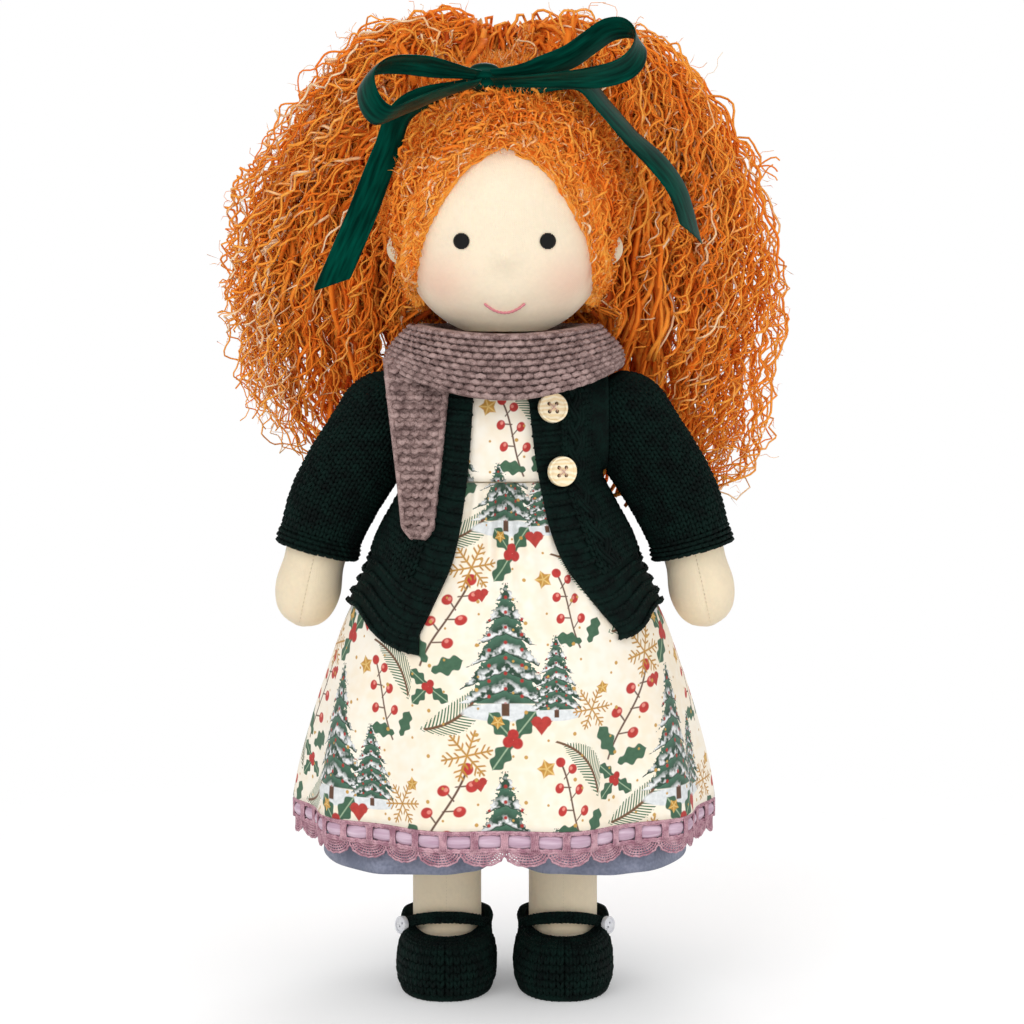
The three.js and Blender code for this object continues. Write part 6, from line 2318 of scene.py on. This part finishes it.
def model_stage():
    scene = bpy.context.scene
    scene.view_settings.view_transform = "Standard"
    bpy.ops.object.select_all(action="DESELECT")
    bpy.ops.mesh.primitive_circle_add(vertices=96, radius=0.9, fill_type="NGON")
    floor = bpy.context.object
    floor.name = "floor"
    graph = shader("studio_floor", (0.85, 0.85, 0.85), 0.9)
    distance = graph.node("VectorMath", {0: graph.place()}, output=1, operation="LENGTH")
    seen = seen_white(graph, "Is Glossy Ray")
    graph.feed(graph.principled.inputs["Emission Color"], (1, 1, 1))
    graph.feed(graph.principled.inputs["Emission Strength"], graph.math("MULTIPLY", seen, 0.2))
    solid, clear = graph.principled.outputs[0], graph.node("BsdfTransparent")
    fade = graph.node("MixShader", {0: graph.band(distance, 0.18, 0.5), 1: solid, 2: clear})
    graph.feed(graph.tree.nodes["Material Output"].inputs["Surface"], fade)
    floor.data.materials.append(graph.material)
    world = bpy.data.worlds.new("studio")
    scene.world = world
    world.use_nodes = True
    graph = Graph(world.node_tree)
    background = world.node_tree.nodes["Background"]
    seen = seen_white(graph, "Is Glossy Ray", "Is Transmission Ray")
    graph.feed(background.inputs["Color"], (1, 1, 1))
    graph.feed(background.inputs["Strength"], graph.math("MULTIPLY_ADD", seen, 0.32, 0.68))
    lamps = {
        "key": [(-0.55, -0.95, 0.85), 4.4, 0.8],
        "fill": [(0.9, -0.8, 0.3), 2.95, 0.9],
        "low": [(-0.25, -1.1, 0.08), 1.7, 0.7],
        "rim": [(0.15, 0.9, 0.9), 4.0, 0.6],
    }
    for name, (at, power, size) in lamps.items():
        lamp = bpy.data.lights.new(name, "AREA")
        lamp.energy, lamp.size = power, size
        holder = bpy.data.objects.new(name, lamp)
        holder.location = at
        holder.rotation_euler = (Vector((0, 0, 0.2)) - Vector(at)).to_track_quat("-Z", "Y").to_euler()
        scene.collection.objects.link(holder)
    camera = bpy.data.objects.new("camera", bpy.data.cameras.new("camera"))
    camera.data.lens = FOCAL_LENGTH / PICTURE * SENSOR
    camera.data.sensor_width = SENSOR
    target, distance, rise = Vector(CAMERA_TARGET) * MM, sizes().camera_distance, sizes().camera_rise
    camera.location = target + Vector((0, -math.cos(rise), math.sin(rise))) * distance
    camera.rotation_euler = (target - camera.location).to_track_quat("-Z", "Y").to_euler()
    scene.collection.objects.link(camera)
    scene.camera = camera


class DOLL_OT_head(bpy.types.Operator):
    """The stuffed head with its ears and sewn face"""

    bl_idname = "doll.head"
    bl_label = "Head"

    def execute(self, context):
        model_head()
        model_ears()
        model_face()
        return {"FINISHED"}


class DOLL_OT_wig_cap(bpy.types.Operator):
    """The brushed cap of the wig, with its hairline and fuzz"""

    bl_idname = "doll.wig_cap"
    bl_label = "Wig cap"

    def execute(self, context):
        model_cap()
        return {"FINISHED"}


class DOLL_OT_loose_hair(bpy.types.Operator):
    """The two bunches, the back hair and the curls of the crown"""

    bl_idname = "doll.loose_hair"
    bl_label = "Loose hair"

    def execute(self, context):
        model_bunches()
        model_back_hair()
        model_crown_hair()
        return {"FINISHED"}


class DOLL_OT_bow(bpy.types.Operator):
    """The satin bow with its knot, loops and tails"""

    bl_idname = "doll.bow"
    bl_label = "Bow"

    def execute(self, context):
        model_bow()
        return {"FINISHED"}


class DOLL_OT_body(bpy.types.Operator):
    """The stuffed torso, arms and legs"""

    bl_idname = "doll.body"
    bl_label = "Body"

    def execute(self, context):
        model_torso()
        model_arms()
        model_legs()
        return {"FINISHED"}


class DOLL_OT_dress(bpy.types.Operator):
    """The printed skirt and bodice"""

    bl_idname = "doll.dress"
    bl_label = "Dress"

    def execute(self, context):
        model_dress()
        return {"FINISHED"}


class DOLL_OT_lace(bpy.types.Operator):
    """The crocheted lace with the satin ribbon threaded through it"""

    bl_idname = "doll.lace"
    bl_label = "Lace"

    def execute(self, context):
        model_lace()
        return {"FINISHED"}


class DOLL_OT_bloomers(bpy.types.Operator):
    """The cotton bloomers"""

    bl_idname = "doll.bloomers"
    bl_label = "Bloomers"

    def execute(self, context):
        model_bloomers()
        return {"FINISHED"}


class DOLL_OT_cardigan(bpy.types.Operator):
    """The knitted back, fronts, shoulders and sleeves"""

    bl_idname = "doll.cardigan"
    bl_label = "Cardigan"

    def execute(self, context):
        model_cardigan()
        model_shoulders()
        model_sleeves()
        return {"FINISHED"}


class DOLL_OT_scarf(bpy.types.Operator):
    """The knitted scarf and its hanging end"""

    bl_idname = "doll.scarf"
    bl_label = "Scarf"

    def execute(self, context):
        model_scarf()
        return {"FINISHED"}


class DOLL_OT_shoes(bpy.types.Operator):
    """The crocheted shoes with their straps and buttons"""

    bl_idname = "doll.shoes"
    bl_label = "Shoes"

    def execute(self, context):
        model_shoes()
        return {"FINISHED"}


class DOLL_OT_buttons(bpy.types.Operator):
    """The wooden buttons of the cardigan"""

    bl_idname = "doll.buttons"
    bl_label = "Buttons"

    def execute(self, context):
        model_buttons()
        return {"FINISHED"}


class DOLL_OT_stage(bpy.types.Operator):
    """The floor, the lamps, the white surroundings and the camera"""

    bl_idname = "doll.stage"
    bl_label = "Stage"

    def execute(self, context):
        model_stage()
        return {"FINISHED"}


class DOLL_PT_maker(bpy.types.Panel):
    """The doll's sizes, colours and pieces."""

    bl_label = "Rag doll"
    bl_idname = "DOLL_PT_maker"
    bl_space_type = "VIEW_3D"
    bl_region_type = "UI"
    bl_category = "Doll"

    def draw(self, context):
        scene = context.scene
        for values in (scene.doll_sizes, scene.doll_colours):
            column = self.layout.column(align=True)
            for name in values.__annotations__:
                column.prop(values, name)
        column = self.layout.column(align=True)
        for operator in OPERATORS:
            column.operator(operator.bl_idname)


OPERATORS = (
    DOLL_OT_head,
    DOLL_OT_wig_cap,
    DOLL_OT_loose_hair,
    DOLL_OT_bow,
    DOLL_OT_body,
    DOLL_OT_dress,
    DOLL_OT_lace,
    DOLL_OT_bloomers,
    DOLL_OT_cardigan,
    DOLL_OT_scarf,
    DOLL_OT_shoes,
    DOLL_OT_buttons,
    DOLL_OT_stage,
)


def register():
    for item in (DollSizes, DollColours, *OPERATORS, DOLL_PT_maker):
        bpy.utils.register_class(item)
    bpy.types.Scene.doll_sizes = bpy.props.PointerProperty(type=DollSizes)
    bpy.types.Scene.doll_colours = bpy.props.PointerProperty(type=DollColours)


def unregister():
    del bpy.types.Scene.doll_colours
    del bpy.types.Scene.doll_sizes
    for item in reversed((DollSizes, DollColours, *OPERATORS, DOLL_PT_maker)):
        bpy.utils.unregister_class(item)


def main():
    register()
    bpy.ops.doll.head()
    bpy.ops.doll.wig_cap()
    bpy.ops.doll.loose_hair()
    bpy.ops.doll.bow()
    bpy.ops.doll.body()
    bpy.ops.doll.dress()
    bpy.ops.doll.lace()
    bpy.ops.doll.bloomers()
    bpy.ops.doll.cardigan()
    bpy.ops.doll.scarf()
    bpy.ops.doll.shoes()
    bpy.ops.doll.buttons()
    bpy.ops.doll.stage()


if __name__ == "__main__":
    main()
